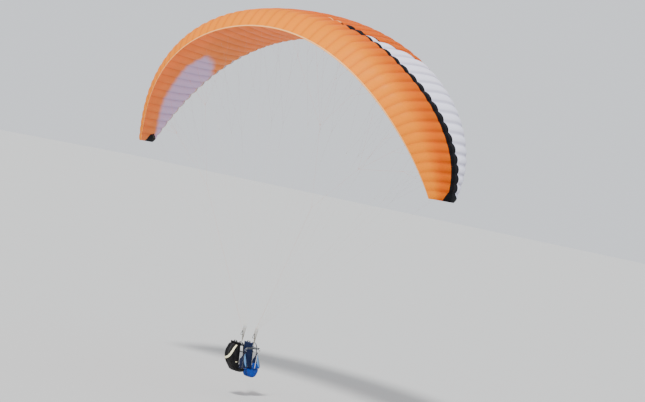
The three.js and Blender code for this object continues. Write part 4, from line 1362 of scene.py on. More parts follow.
class PARAGLIDER_OT_risers(bpy.types.Operator):
    """Sews the risers and adds their links, stitches and brake guides"""

    bl_idname = "paraglider.risers"
    bl_label = "Risers"

    def execute(self, context):
        looks = context.scene.paraglider_harnesses
        band, steel = webbing_material("riser webbing", looks.riser), metal_material("link steel")
        grey = plastic_material("moulded parts", GUIDE_PLASTIC)
        cloth = woven_material("handle cloth", looks.black)
        for side_name, side in SIDES.items():
            y = side * HANG_HALF_WIDTH
            bar = Vector((HANG.x, y, HANG.z + CARABINER_HEIGHT))
            stem = [bar + UPWARD * height for height in (0.014, 0.05, 0.085)]
            straps = [hung_loop("loop", bar, RISER_WIDTH, 0.0024, LOOP_INNER, stem)]
            links, stitches = [], []
            for reach in SHACKLE_X.values():
                route = self.strap_route(reach, y)
                section = flat_section(RISER_WIDTH, RISER_THICKNESS)
                straps.append(swept("riser", route, section, ACROSS))
                head = Vector((HANG.x + reach, y, RISER_HEAD))
                down = (route[-4] - route[-1]).normalized()
                rod_at = head + UPWARD * 0.004
                tail = [rod_at + down * at for at in (0.011, 0.03, 0.075)]
                inner = LINK_ROD + 0.0006
                straps.append(hung_loop("link_loop", rod_at, 0.017, 0.0018, inner, tail))
                links += self.link(head + UPWARD * 0.0035)
                stitches += self.stitches(route)
            straps = joined(f"riser_webbing_{side_name}", straps)
            finish_piece(straps, "wing_and_lines", band, [f"riser_{side_name}"])
            links = joined(f"riser_links_{side_name}", links)
            finish_piece(links, "wing_and_lines", steel)
            rows = f"riser_stitches_{side_name}"
            stitch_rows(rows, stitches, "wing_and_lines", looks)
            guide = self.brake_guide(side_name, y)
            finish_piece(guide, "wing_and_lines", grey)
            handle = self.brake_handle(side_name, y)
            replaced = [f"brake_handle_{side_name}"]
            finish_piece(handle, "wing_and_lines", cloth, replaced)
        return {"FINISHED"}

    def strap_route(self, reach, y):
        """A riser's strap, from its place among the others to its link."""
        foot = HANG.z + CARABINER_HEIGHT + LOOP_INNER + 0.006
        start = ((reach > SHACKLE_X["b"]) - (reach < SHACKLE_X["b"])) * RISER_PITCH
        points = []
        for t in (0.0, 0.12, 0.3, 0.5, 0.75, 0.97):
            x = HANG.x + start + (reach - start) * t**RISER_SPREAD
            points.append((x, y, foot + (RISER_HEAD - foot) * t))
        return smooth_route(points, 5)

    def stitches(self, route):
        """Two rows on each face of a strap."""
        face = ACROSS.cross((route[0] - route[1]).normalized()) * 0.0016
        offset = ACROSS * RISER_WIDTH * 0.36
        shifts = [offset * side + face * flip for flip in (1, -1) for side in (1, -1)]
        return [[p + shift for p in route] for shift in shifts]

    def link(self, foot):
        """A link's oval rod across the strap, and its nut."""
        half, height = LINK_HALF, LINK_HEIGHT
        corners = [(-half, 0), (half, 0), (half, height), (-half, height)]
        ring = [foot + Vector((0, *p)) for p in rounded(corners, 0.011, 6)]
        nut = [foot + Vector((0, half, level)) for level in (0.008, 0.009, 0.023, 0.024)]
        return [
            rod("link", ring, LINK_ROD, closed=True),
            swept("nut", nut, round_section(0.0048, 6), ACROSS),
        ]

    def brake_guide(self, side_name, y):
        """The ring that guides the brake line, and the stud that holds the handle."""
        rear_x, height, low = HANG.x + SHACKLE_X["c"], HANDLE_TOP + 0.05, HANDLE_TOP - 0.014
        ring = [Vector((a, b, height)) for a, b in oval(BRAKE_X, y, 0.0075, 0.0075, 20)]
        stem = [Vector((rear_x + 0.006, y, height)), Vector((BRAKE_X + 0.0085, y, height))]
        stud = [Vector((rear_x + 0.004, y, low)), Vector((BRAKE_X + 0.0072, y, low))]
        return joined(f"brake_guide_{side_name}", [
            rod("ring", ring, 0.0022, closed=True),
            swept("stem", stem, flat_section(0.014, 0.002), ACROSS),
            swept("stud", stud, round_section(0.0055, 16), ACROSS),
        ])

    def brake_handle(self, side_name, y):
        """A padded loop of webbing below a short neck."""
        top = Vector((BRAKE_X, y, HANDLE_TOP))
        loop = [top + Vector((0, *p)) for p in rounded(HANDLE_CORNERS, 0.014, 6)]
        neck = [top - UPWARD * depth for depth in (0.024, 0.012, 0.0005)]
        return joined(f"brake_grip_{side_name}", [
            swept("grip", loop, flat_section(0.013, 0.0125), FORWARD, closed=True),
            swept("neck", neck, flat_section(0.013, 0.011), FORWARD),
        ])


class PARAGLIDER_OT_carabiners(bpy.types.Operator):
    """Bends the carabiners, with their gates and locking sleeves"""

    bl_idname = "paraglider.carabiners"
    bl_label = "Carabiners"

    def execute(self, context):
        alloy, dark = metal_material("carabiner alloy"), metal_material("sleeve alloy")
        places = [("main_carabiner", "wing_and_lines", HANG.x, HANG.z + CARABINER_HEIGHT)]
        for name, reach in (("pilot", -BAR_REACH), ("passenger", BAR_REACH)):
            x, top = HANG.x + reach, HANG.z - BAR_DROP
            places.append((f"{name}_carabiner", f"{name}_harness", x, top))
        for label, body, x, top in places:
            for side_name, side in SIDES.items():
                rim = self.rim(x, side * HANG_HALF_WIDTH, top)
                gate = side * (HANG_HALF_WIDTH + CARABINER_HALF_WIDTH)
                gate = Vector((x, gate, top - CARABINER_HEIGHT / 2))
                hinge = [gate + Vector((a, 0, -0.027)) for a in (-0.0062, 0.0062)]
                pin = swept("hinge", hinge, round_section(0.0022), ACROSS)
                frame_piece = joined(f"{label}_body_{side_name}", [rim, pin])
                replaced = [f"{label}_{side_name}"]
                finish_piece(frame_piece, body, alloy, replaced)
                sleeve = [gate + UPWARD * height for height in (-0.02, -0.019, 0.016, 0.017)]
                sleeve = swept("sleeve", sleeve, round_section(SLEEVE_RADIUS, 16), FORWARD)
                lock = joined(f"{label}_lock_{side_name}", [sleeve, self.knurls(gate)])
                finish_piece(lock, body, dark)
        return {"FINISHED"}

    def rim(self, x, y, top):
        """The bent rod of a carabiner."""
        half, low = CARABINER_HALF_WIDTH, top - CARABINER_HEIGHT
        corners = [(x, y - half, low), (x, y + half, low), (x, y + half, top), (x, y - half, top)]
        return rod("body", rounded(corners, 0.014, 6), ROD_RADIUS, closed=True, sides=12)

    def knurls(self, gate):
        """Raised ridges round a locking sleeve."""
        low = gate - UPWARD * 0.0015
        points = [low + Vector((*p, 0)) for p in round_section(SLEEVE_RADIUS - 0.0001, KNURLS)]
        turns = [(0, 0, turn) for turn in turns_of(KNURLS)]
        ridge = [UPWARD * -0.014, UPWARD * 0.014]
        ridge = swept("ridge", ridge, round_section(0.0007, 5), FORWARD)
        return place_copies("ridges", ridge, points, turns, [1.0] * KNURLS, None)


class PARAGLIDER_OT_bars(bpy.types.Operator):
    """Cuts the spreader bars and presses a bush into each of their round eyes"""

    bl_idname = "paraglider.bars"
    bl_label = "Spreader bars"

    def execute(self, context):
        alloy, bright = metal_material("bar alloy"), metal_material("bush alloy")
        outline, holes = self.outline(), self.holes()
        for side_name, side in SIDES.items():
            origin = Vector((HANG.x, side * HANG_HALF_WIDTH, HANG.z))
            name = f"bar_{side_name}"
            bar = slab(name, outline, origin, FORWARD, UPWARD, 0.008, 0.0012, holes)
            finish_piece(bar, "spreader_bars", alloy, [f"spreader_{name}"])
            points = [origin + Vector((a, 0, b)) for a, b in EYES]
            name = f"bar_bushes_{side_name}"
            bushes = place_copies(name, self.bush(), points, [(0, 0, 0)] * 3, [1.0] * 3, bright)
            finish_piece(bushes, "spreader_bars")
        return {"FINISHED"}

    def outline(self):
        """A bar's flat shape, with a raised middle and round ends."""
        turns = [math.pi / 2 + math.pi * k / 16 for k in range(17)]
        end = [(-BAR_REACH + BAR_END * math.cos(t), BAR_END * math.sin(t)) for t in turns]
        ends = [(a, b - BAR_DROP) for a, b in end] + [(-a, -b - BAR_DROP) for a, b in end]
        return [(BAR_CREST, BAR_END), (-BAR_CREST, BAR_END), *ends]

    def holes(self):
        """A round hole at each eye and two slots in each arm."""
        holes = [oval(a, b, EYE_RADIUS, EYE_RADIUS) for a, b in EYES]
        slope = BAR_DROP / (BAR_REACH - BAR_CREST)
        for place in (*(-a for a in SLOT_PLACES[::-1]), *SLOT_PLACES):
            holes.append(oval(place, -slope * (abs(place) - BAR_CREST), 0.026, 0.007))
        return holes

    def bush(self):
        """A flanged ring round the Y axis."""
        profile = [(r, -y) for r, y in BUSH_PROFILE] + list(BUSH_PROFILE[::-1])
        rings = [[(r * math.cos(t), y, r * math.sin(t)) for r, y in profile] for t in turns_of(24)]
        piece = add_mesh("bush", sum(rings, []), ring_faces(24, len(profile)))
        cleaned(piece, 1e-6)
        return piece


# Soft pieces

WELT_SIDES = 8
CLOTH_FRAMES = 20
CLOTH = {
    "quality": 5, "mass": 0.3, "use_pressure": True, "uniform_pressure_force": 4.0,
    "tension_stiffness": 15, "compression_stiffness": 15, "bending_stiffness": 0.3,
}
RIBBON_POINTS = 7  # across a ribbon


def flatten(piece):
    """Puts the result of the piece's modifiers into its mesh."""
    graph = bpy.context.evaluated_depsgraph_get()
    mesh = bpy.data.meshes.new_from_object(piece.evaluated_get(graph), depsgraph=graph)
    piece.modifiers.clear()
    piece.data = mesh
    mesh.shade_smooth()


def modified(piece, kind, **settings):
    """Gives the piece a modifier and puts its result into the mesh."""
    modifier = piece.modifiers.new(kind, kind)
    for name, value in settings.items():
        setattr(modifier, name, value)
    flatten(piece)


def read_vertices(piece, field="co"):
    values = np.empty(len(piece.data.vertices) * 3, dtype=np.float32)
    piece.data.vertices.foreach_get(field, values)
    return values.reshape(-1, 3).astype(float)


def move_vertices(piece, places):
    piece.data.vertices.foreach_set("co", places.astype(np.float32).ravel())
    piece.data.update()


def soft_block(name, outline, half, edge, centre, steps=4, slack=0.0):
    """A closed block with rounded edges.

    Each of the outline's rows is forward, up and how much the sides are drawn in there, 1 where
    it isn't given. slack makes the block smaller all round.
    """
    rows = np.array([(*row, 1.0)[:3] for row in outline])
    flat, drawn = rows[:, :2], rows[:, 2]
    after = np.roll(flat, -1, axis=0)
    turn = np.sign(np.sum(flat[:, 0] * after[:, 1] - after[:, 0] * flat[:, 1]))
    along = after - np.roll(flat, 1, axis=0)
    along /= np.linalg.norm(along, axis=1, keepdims=True)
    inward = np.stack([-along[:, 1], along[:, 0]], axis=1) * turn
    rings = []
    for k in range(steps + 1):
        angle = math.pi / 2 * k / steps
        y = half - slack - edge * (1 - math.cos(angle))
        inset = edge * (1 - math.sin(angle))
        ring = flat + inward * (inset * drawn + slack * np.maximum(drawn, 0.4))[:, None]
        rings.append((y, ring))
    ordered = [(-y, ring) for y, ring in rings] + rings[::-1]
    cx, cy, cz = centre
    vertices = [(x + cx, y + cy, z + cz) for y, ring in ordered for x, z in ring]
    piece = add_mesh(name, vertices, tube_faces(len(ordered), len(flat)))
    cleaned(piece, 1e-6)
    return piece


def puffed(piece, voxel, give, smoothing=4):
    """Fills a closed block as cloth under pressure, no point moving further than give."""
    modified(piece, "REMESH", mode="VOXEL", voxel_size=voxel)
    modified(piece, "SMOOTH", factor=0.5, iterations=smoothing)
    rest = read_vertices(piece)
    cloth = piece.modifiers.new("Cloth", "CLOTH")
    for name, value in CLOTH.items():
        setattr(cloth.settings, name, value)
    cloth.settings.effector_weights.gravity = 0.0
    cloth.collision_settings.use_collision = False
    for step in range(1, CLOTH_FRAMES + 1):
        bpy.context.scene.frame_set(step)
    flatten(piece)
    bpy.context.scene.frame_set(1)
    move = read_vertices(piece) - rest
    far = np.linalg.norm(move, axis=1, keepdims=True)
    move_vertices(piece, rest + move * np.minimum(1, give / np.maximum(far, 1e-9)))
    modified(piece, "SUBSURF", levels=1, render_levels=1)


def sewn_in(piece, distance, depth, width):
    """Draws the cloth in along a sewn line; distance says how far each point lies from it."""
    place, normal = read_vertices(piece), read_vertices(piece, "normal")
    pull = depth * np.exp(-((distance(place) / width) ** 2))
    move_vertices(piece, place - normal * pull[:, None])


def quilted(piece, axis, level, half, depth):
    """Draws a channel across a pad at a level on the axis, up to the pad's welted edges."""

    def distance(place):
        past_end = np.maximum(np.abs(place[:, 1]) - (half - 0.032), 0)
        return np.hypot(place[:, axis] - level, past_end)

    sewn_in(piece, distance, depth, 0.01)


def creased(piece, spot, run, depth):
    """Draws a short straight fold into the cloth, from spot minus run to spot plus run."""

    def distance(place):
        away = place - spot
        along = np.clip(away @ run / (run @ run), -1, 1)
        return np.linalg.norm(away - along[:, None] * run, axis=1)

    sewn_in(piece, distance, depth, 0.017)


def surface_route(tree, points, lift):
    """Points moved onto the nearest cloth, then lifted off it."""
    route = []
    for point in points:
        spot, normal, _, _ = tree.find_nearest(Vector(point))
        route.append(spot + normal * lift)
    return route


def tree_of(piece):
    return BVHTree.FromObject(piece, bpy.context.evaluated_depsgraph_get())


def ribbon(name, tree, points, widths, lift, thickness=0.0016, steps=6):
    """A band that lies on the cloth along the points; the widths are spread evenly along it."""
    middle = surface_route(tree, smooth_route(points, steps), 0.0)
    places = np.linspace(0, 1, len(widths))
    shares = [j / (RIBBON_POINTS - 1) - 0.5 for j in range(RIBBON_POINTS)]
    vertices, run, distance = [], [], 0.0
    for k, point in enumerate(middle):
        distance += (point - middle[k - 1]).length if k else 0
        width = np.interp(k / (len(middle) - 1), places, widths)
        _, normal, _, _ = tree.find_nearest(point)
        side = along_at(middle, k).cross(normal).normalized()
        row = [tree.find_nearest(point + side * share * width)[:2] for share in shares]
        vertices += [spot + out * lift for spot, out in row]
        vertices += [spot + out * (lift - thickness) for spot, out in reversed(row)]
        run += [distance] * 2 * RIBBON_POINTS
    across = [share * max(widths) for share in shares + shares[::-1]] * len(middle)
    piece = add_mesh(name, vertices, tube_faces(len(middle), 2 * RIBBON_POINTS))
    keep_uv(piece, across, run)
    cleaned(piece)
    return piece


# Harnesses

SOFT_GAP = 0.0004  # between two soft pieces that lie on each other
BACK_FOOT = SEAT_REAR - SOFT_GAP
SEAT_LOW = SEAT_TOP - SEAT_THICKNESS
UNDER_SEAT = SEAT_LOW - SOFT_GAP
BACK_TOP = SEAT_TOP + BACK_HEIGHT
CHEST = SEAT_TOP + 0.4
STRAP_ROOM = 0.004  # between a side panel and the seat


def back_at(height):
    return BACK_FOOT - BACK_LEAN * height


def back_rear(height):
    return back_at(height) - BACK_THICKNESS


SEAT_OUTLINE = (
    (SEAT_REAR, SEAT_TOP), (SEAT_REAR, SEAT_LOW), (SEAT_FRONT - 0.03, SEAT_LOW),
    (SEAT_FRONT, SEAT_TOP - 0.02), (SEAT_FRONT - 0.02, SEAT_TOP),
)
BACK_OUTLINE = (
    (BACK_FOOT, SEAT_LOW), (back_at(BACK_BEND), SEAT_TOP + BACK_BEND),
    (back_at(BACK_HEIGHT), BACK_TOP), (back_rear(BACK_HEIGHT), BACK_TOP),
    (back_rear(BACK_BEND), SEAT_TOP + BACK_BEND), (back_rear(0), SEAT_LOW),
)
# Each bag's outline: forward, up and how much the sides are drawn in, 1 where it isn't given
PILOT_BAG = (
    (SEAT_FRONT - 0.06, UNDER_SEAT, 0), (back_rear(0) - SOFT_GAP, UNDER_SEAT, 0),
    (back_rear(BACK_BEND) - SOFT_GAP, SEAT_TOP + BACK_BEND, 0),
    (back_rear(BACK_HEIGHT - 0.06) - SOFT_GAP, BACK_TOP - 0.06, 0),
    (-0.325, 0.085, 0.6), (-0.4, 0.02), (-0.46, -0.1), (-0.47, -0.24), (-0.415, -0.4),
    (-0.29, -0.545, 0.9), (-0.13, -0.665, 0.7), (0.06, -0.705, 0.8), (0.18, -0.695, 0.8),
    (0.225, -0.64, 0.6),
)
PASSENGER_BAG = (
    (SEAT_REAR + 0.005, UNDER_SEAT, 0), (SEAT_FRONT - 0.035, UNDER_SEAT, 0), (0.262, -0.64, 0.7),
    (0.255, -0.72), (0.2, -0.81), (0.11, -0.86), (0, -0.86), (-0.08, -0.8), (-0.125, -0.71),
    (-0.125, -0.64, 0.7),
)
BAGS = {"pilot": PILOT_BAG, "passenger": PASSENGER_BAG}

# Soft folds in the airbags: a point and half of the fold's run together, and its depth
PILOT_CREASES = (
    ((-0.43, 0.1, 0.0, 0.02, 0.07, -0.06), 0.01), ((-0.46, -0.09, -0.1, 0.01, 0.07, 0.05), 0.008),
    ((-0.38, 0.08, -0.45, 0.03, 0.08, -0.03), 0.01),
    ((-0.29, -0.09, -0.54, 0.06, 0.06, -0.03), 0.009),
    ((-0.3, 0.18, -0.2, 0.06, 0.0, 0.09), 0.01), ((-0.3, -0.18, -0.16, 0.05, 0.0, -0.09), 0.01),
    ((-0.33, 0.18, -0.33, 0.07, 0.0, 0.03), 0.008), ((-0.34, -0.18, -0.31, 0.06, 0.0, 0.04), 0.008),
    ((-0.1, 0.18, -0.63, 0.08, 0.0, -0.02), 0.008),
    ((-0.12, -0.18, -0.62, 0.08, 0.0, -0.03), 0.009),
    ((0.02, 0.06, -0.7, 0.07, 0.06, 0.0), 0.008),
)
PASSENGER_CREASES = (
    ((0.25, 0.06, -0.74, 0.0, 0.07, 0.03), 0.009), ((-0.11, -0.05, -0.75, 0.01, 0.08, 0.03), 0.01),
    ((0.05, 0.17, -0.76, 0.08, 0.0, 0.05), 0.009), ((0.06, -0.17, -0.74, 0.08, 0.0, -0.05), 0.01),
    ((0.15, -0.17, -0.7, 0.03, 0.0, 0.05), 0.008), ((-0.03, -0.17, -0.68, 0.03, 0.0, 0.05), 0.008),
    ((-0.1, 0.08, -0.68, 0.0, 0.06, -0.02), 0.008),
)
CREASES = {"pilot": PILOT_CREASES, "passenger": PASSENGER_CREASES}
AIRBAG_STRIPE = (
    (-0.36, -0.165, 0.1), (-0.45, -0.15, -0.03), (-0.5, -0.11, -0.16), (-0.5, -0.04, -0.27),
    (-0.47, 0.06, -0.335), (-0.44, 0.17, -0.36),
)
AIRBAG_STRIPE_WIDTHS = (0.034, 0.05, 0.062, 0.064, 0.06, 0.056)
TOOTH_PITCH = 0.004


def bag_rows(rows):
    """The rows of a bag's outline that lie on what holds it, which end in 0, and its free rows."""
    return [row for row in rows if row[2:] == (0,)], [row for row in rows if row[2:] != (0,)]


def rounded_bag(rows):
    """A bag's outline with its free part drawn as one curve."""
    held, free = bag_rows(rows)
    free = [(*row, 1.0)[:3] for row in free]
    curve = smooth_route([held[-1], *free, held[0]], 4)[1:-1]
    return [*held, *((p.x, p.y, min(1.0, max(0.3, p.z))) for p in curve)]


class Harness:
    """The sizes and cloths of one person's harness."""

    def __init__(self, name, reach, half, looks):
        pilot = name == "pilot"
        self.name, self.half, self.looks = name, half, looks
        self.body = f"{name}_harness"
        self.pivot = Vector((HANG.x + reach, 0, HANG.z - BAR_DROP))
        self.bag, self.creases = BAGS[name], CREASES[name]
        self.shell = looks.black if pilot else looks.navy
        self.slot = "black_cloth" if pilot else "navy_cloth"
        self.seat = looks.navy if pilot else looks.blue
        self.strap = looks.strap if pilot else looks.light_strap
        self.seat_slot = "navy_cloth" if pilot else "blue_cloth"
        self.bag_paint = looks.black if pilot else looks.blue
        self.bag_slot = "black_cloth" if pilot else "blue_cloth"

    def at(self, x, y, z):
        return self.pivot + Vector((x, y, z))

    def finish(self, piece, slot, material, replaced=()):
        nodes = [f"{self.name}_{node}" for node in replaced]
        finish_piece(piece, self.body, material, nodes)

    def stitch(self, name, rows, slot):
        stitch_rows(f"{self.name}_{name}_stitches", rows, self.body, self.looks)


def harnesses(context):
    looks = context.scene.paraglider_harnesses
    return Harness("pilot", -BAR_REACH, 0.19, looks), Harness("passenger", BAR_REACH, 0.18, looks)


def close_points(route, step):
    """A closed route with points no further apart than step."""
    made = []
    for before, after in zip(route, route[1:] + route[:1]):
        count = max(1, math.ceil((after - before).length / step))
        made += [before.lerp(after, k / count) for k in range(count)]
    return made


def edge_piping(harness, label, piece, outline, material):
    """A welt sewn along both edges of a cushion."""
    tree = tree_of(piece)
    radius, half = 0.003, harness.half - 0.006
    welts = []
    for side in (1, -1):
        corners = [harness.at(x, side * half, z) for x, z in outline]
        route = surface_route(tree, close_points(rounded(corners, 0.02), 0.012), radius * 0.4)
        welts.append(rod("welt", route, radius, closed=True, sides=WELT_SIDES))
    harness.finish(joined(f"{harness.name}_{label}_welt", welts), harness.slot, material)


class PARAGLIDER_OT_seats(bpy.types.Operator):
    """Pads the seats, with quilted seams and welts"""

    bl_idname = "paraglider.seats"
    bl_label = "Seats"

    def execute(self, context):
        for harness in harnesses(context):
            name = f"{harness.name}_seat_pad"
            piece = soft_block(name, SEAT_OUTLINE, harness.half, 0.014, harness.pivot, slack=0.004)
            puffed(piece, 0.008, 0.006)
            for forward in (0.01, 0.13):
                quilted(piece, 0, harness.pivot.x + forward, harness.half, 0.006)
            cloth = woven_material(f"{harness.name} seat cloth", harness.seat, wear=0.08)
            harness.finish(piece, harness.seat_slot, cloth, ["seat"])
            welt = woven_material(f"{harness.name} seat welt", harness.shell, wear=0.2)
            edge_piping(harness, "seat", piece, SEAT_OUTLINE, welt)
        return {"FINISHED"}


class PARAGLIDER_OT_backs(bpy.types.Operator):
    """Pads the backs, with channels, welts and a carrying handle"""

    bl_idname = "paraglider.backs"
    bl_label = "Backs"

    def execute(self, context):
        for harness in harnesses(context):
            name = f"{harness.name}_back_pad"
            piece = soft_block(name, BACK_OUTLINE, harness.half, 0.014, harness.pivot, slack=0.006)
            puffed(piece, 0.008, 0.009)
            for height in (0.2, 0.34, 0.48, 0.6):
                quilted(piece, 2, harness.pivot.z + SEAT_TOP + height, harness.half, 0.007)
            cloth = woven_material(f"{harness.name} back cloth", harness.shell)
            harness.finish(piece, harness.slot, cloth, ["back"])
            welt = woven_material(f"{harness.name} back welt", harness.looks.strap, wear=0.2)
            edge_piping(harness, "back", piece, BACK_OUTLINE, welt)
            self.handle(harness)
        return {"FINISHED"}

    def handle(self, harness):
        x = back_at(BACK_HEIGHT) - BACK_THICKNESS / 2
        bow = ((-0.06, -0.004), (-0.045, 0.018), (0, 0.026), (0.045, 0.018), (0.06, -0.004))
        route = smooth_route([harness.at(x, y, BACK_TOP + rise) for y, rise in bow], 5)
        strap = swept(f"{harness.name}_haul_loop", route, flat_section(0.02, 0.003), FORWARD)
        webbing = webbing_material(f"{harness.name} haul loop", harness.looks.strap)
        harness.finish(strap, "strap_webbing", webbing)


class PARAGLIDER_OT_airbags(bpy.types.Operator):
    """Fills the airbags under and behind the seats and sews their seams"""

    bl_idname = "paraglider.airbags"
    bl_label = "Airbags"

    def execute(self, context):
        for harness in harnesses(context):
            name, half = f"{harness.name}_airbag", harness.half - 0.01
            outline = rounded_bag(harness.bag)
            piece = soft_block(name, outline, half, 0.07, harness.pivot, steps=5, slack=0.011)
            puffed(piece, 0.012, 0.014, smoothing=8)
            for place, depth in harness.creases:
                creased(piece, np.array(harness.at(*place[:3])), np.array(place[3:]), depth)
            name = f"{harness.name} airbag cloth"
            cloth = woven_material(name, harness.bag_paint, pitch=0.0012, depth=0.4, rough=0.62)
            harness.finish(piece, harness.bag_slot, cloth, ["bag"])
            self.seams(harness, tree_of(piece))
        return {"FINISHED"}

    def seams(self, harness, tree):
        """The welts and the zip that run round the bag, and the pilot's stripe and tabs."""
        held, free = bag_rows(harness.bag)
        outer = [row[:2] for row in (held[-1], *free, held[0])]
        welts = []
        for side in (1, -1):
            edge = [harness.at(x, side * (harness.half - 0.035), z) for x, z in outer]
            route = surface_route(tree, smooth_route(edge, 5), 0.001)
            welts.append(rod("welt", route, 0.0032, sides=WELT_SIDES))
        dark = webbing_material(f"{harness.name} airbag welt", harness.looks.strap)
        harness.finish(joined(f"{harness.name}_airbag_welts", welts), harness.bag_slot, dark)
        if harness.name == "pilot":
            self.stripe(harness, tree)
        middle = smooth_route([harness.at(x, 0, z) for x, z in outer], 6)
        run = surface_route(tree, middle, 0.0)[2:-2]
        name = f"{harness.name}_zip_tape"
        tape = ribbon(name, tree, run[::3], (0.026,), 0.0016, steps=4)
        dark = webbing_material(f"{harness.name} zip tape", harness.looks.strap)
        harness.finish(tape, harness.bag_slot, dark)
        self.teeth(harness, tree, run)

    def stripe(self, harness, tree):
        """The broad stripe round the pilot's airbag, and a pull tab on each side."""
        cream = woven_material("cream stripe", harness.looks.cream, wear=0.3)
        points, widths = [harness.at(*p) for p in AIRBAG_STRIPE], AIRBAG_STRIPE_WIDTHS
        band = ribbon("pilot_airbag_stripe", tree, points, widths, 0.0048, 0.0048)
        harness.finish(band, harness.bag_slot, cream)
        tabs = []
        for side in (1, -1):
            ends = [harness.at(x, side * harness.half, -0.41) for x in (-0.275, -0.17)]
            tabs.append(ribbon("tab", tree, ends, (0.02,), 0.0024))
        harness.finish(joined("pilot_airbag_pull_tabs", tabs), harness.bag_slot, cream)

    def teeth(self, harness, tree, route):
        """A coil zip's teeth along the airbag's middle."""
        points, turns, since = [], [], 0.0
        for before, after in zip(route, route[1:]):
            along, reach = (after - before).normalized(), (after - before).length
            while since < reach:
                spot, normal, _, _ = tree.find_nearest(before + along * since)
                points.append(spot + normal * 0.0022)
                turns.append(turn_of(along, normal))
                since += TOOTH_PITCH
            since -= reach
        name = f"{harness.name}_zip_teeth"
        paint = plastic_material(f"{harness.name} zip teeth", TEETH_PLASTIC)
        made = place_copies(name, unit_tooth(), points, turns, [1.0] * len(points), paint)
        harness.finish(made, harness.bag_slot, None)


def unit_tooth():
    """A zip's tooth, with the long edges of its upper side bevelled."""
    x, y, z = 0.0011, 0.00325, 0.0008
    section = [(-y, -z), (y, -z), (y, z * 0.3), (y * 0.7, z), (-y * 0.7, z), (-y, z * 0.3)]
    vertices = [(a, *p) for a in (-x, x) for p in section]
    return add_mesh("tooth", vertices, flipped(tube_faces(2, len(section))), smooth=False)


CRESCENT = ((0.03, -0.165), (0.047, -0.26), (0.08, -0.36), (0.13, -0.455), (0.183, -0.54))


def crescent():
    """The outline of the light inlay along a side panel's front edge."""
    middle = smooth_route([(*p, 0) for p in CRESCENT], 6)
    front, rear = [], []
    for k, point in enumerate(middle):
        along = along_at(middle, k)
        half = 0.004 + 0.03 * math.sin(math.pi * k / (len(middle) - 1)) ** 0.7
        front.append((point.x - along.y * half, point.y + along.x * half))
        rear.append((point.x + along.y * half, point.y - along.x * half))
    return front + rear[::-1]


LOOP_Z = -CARABINER_HEIGHT  # where a harness hangs on its carabiner
STRAP_TOP = LOOP_Z - LOOP_INNER - 0.001
SIDE_OUTLINE = (
    (-0.014, STRAP_TOP - 0.02), (0.014, STRAP_TOP - 0.02), (0.03, LOOP_Z - 0.09),
    (SEAT_FRONT - 0.04, SEAT_TOP + 0.02), (SEAT_FRONT - 0.05, SEAT_TOP - 0.045),
    (SEAT_REAR, SEAT_TOP - 0.05), (back_at(0.2) - 0.03, SEAT_TOP + 0.2), (-0.04, LOOP_Z - 0.09),
)
CLIP_OUTLINE = (
    (-0.032, -0.012), (-0.02, -0.0165), (0.02, -0.0165), (0.032, -0.012), (0.032, 0.012),
    (0.02, 0.0165), (-0.02, 0.0165), (-0.032, 0.012),
)
TACK_HALF = 0.008
BAR_TACK = ((-1, 0), (1, 0), (1, -0.03), (-1, -0.03), (-1, 0), (1, -0.03))
THIGH_X = SEAT_FRONT - 0.06


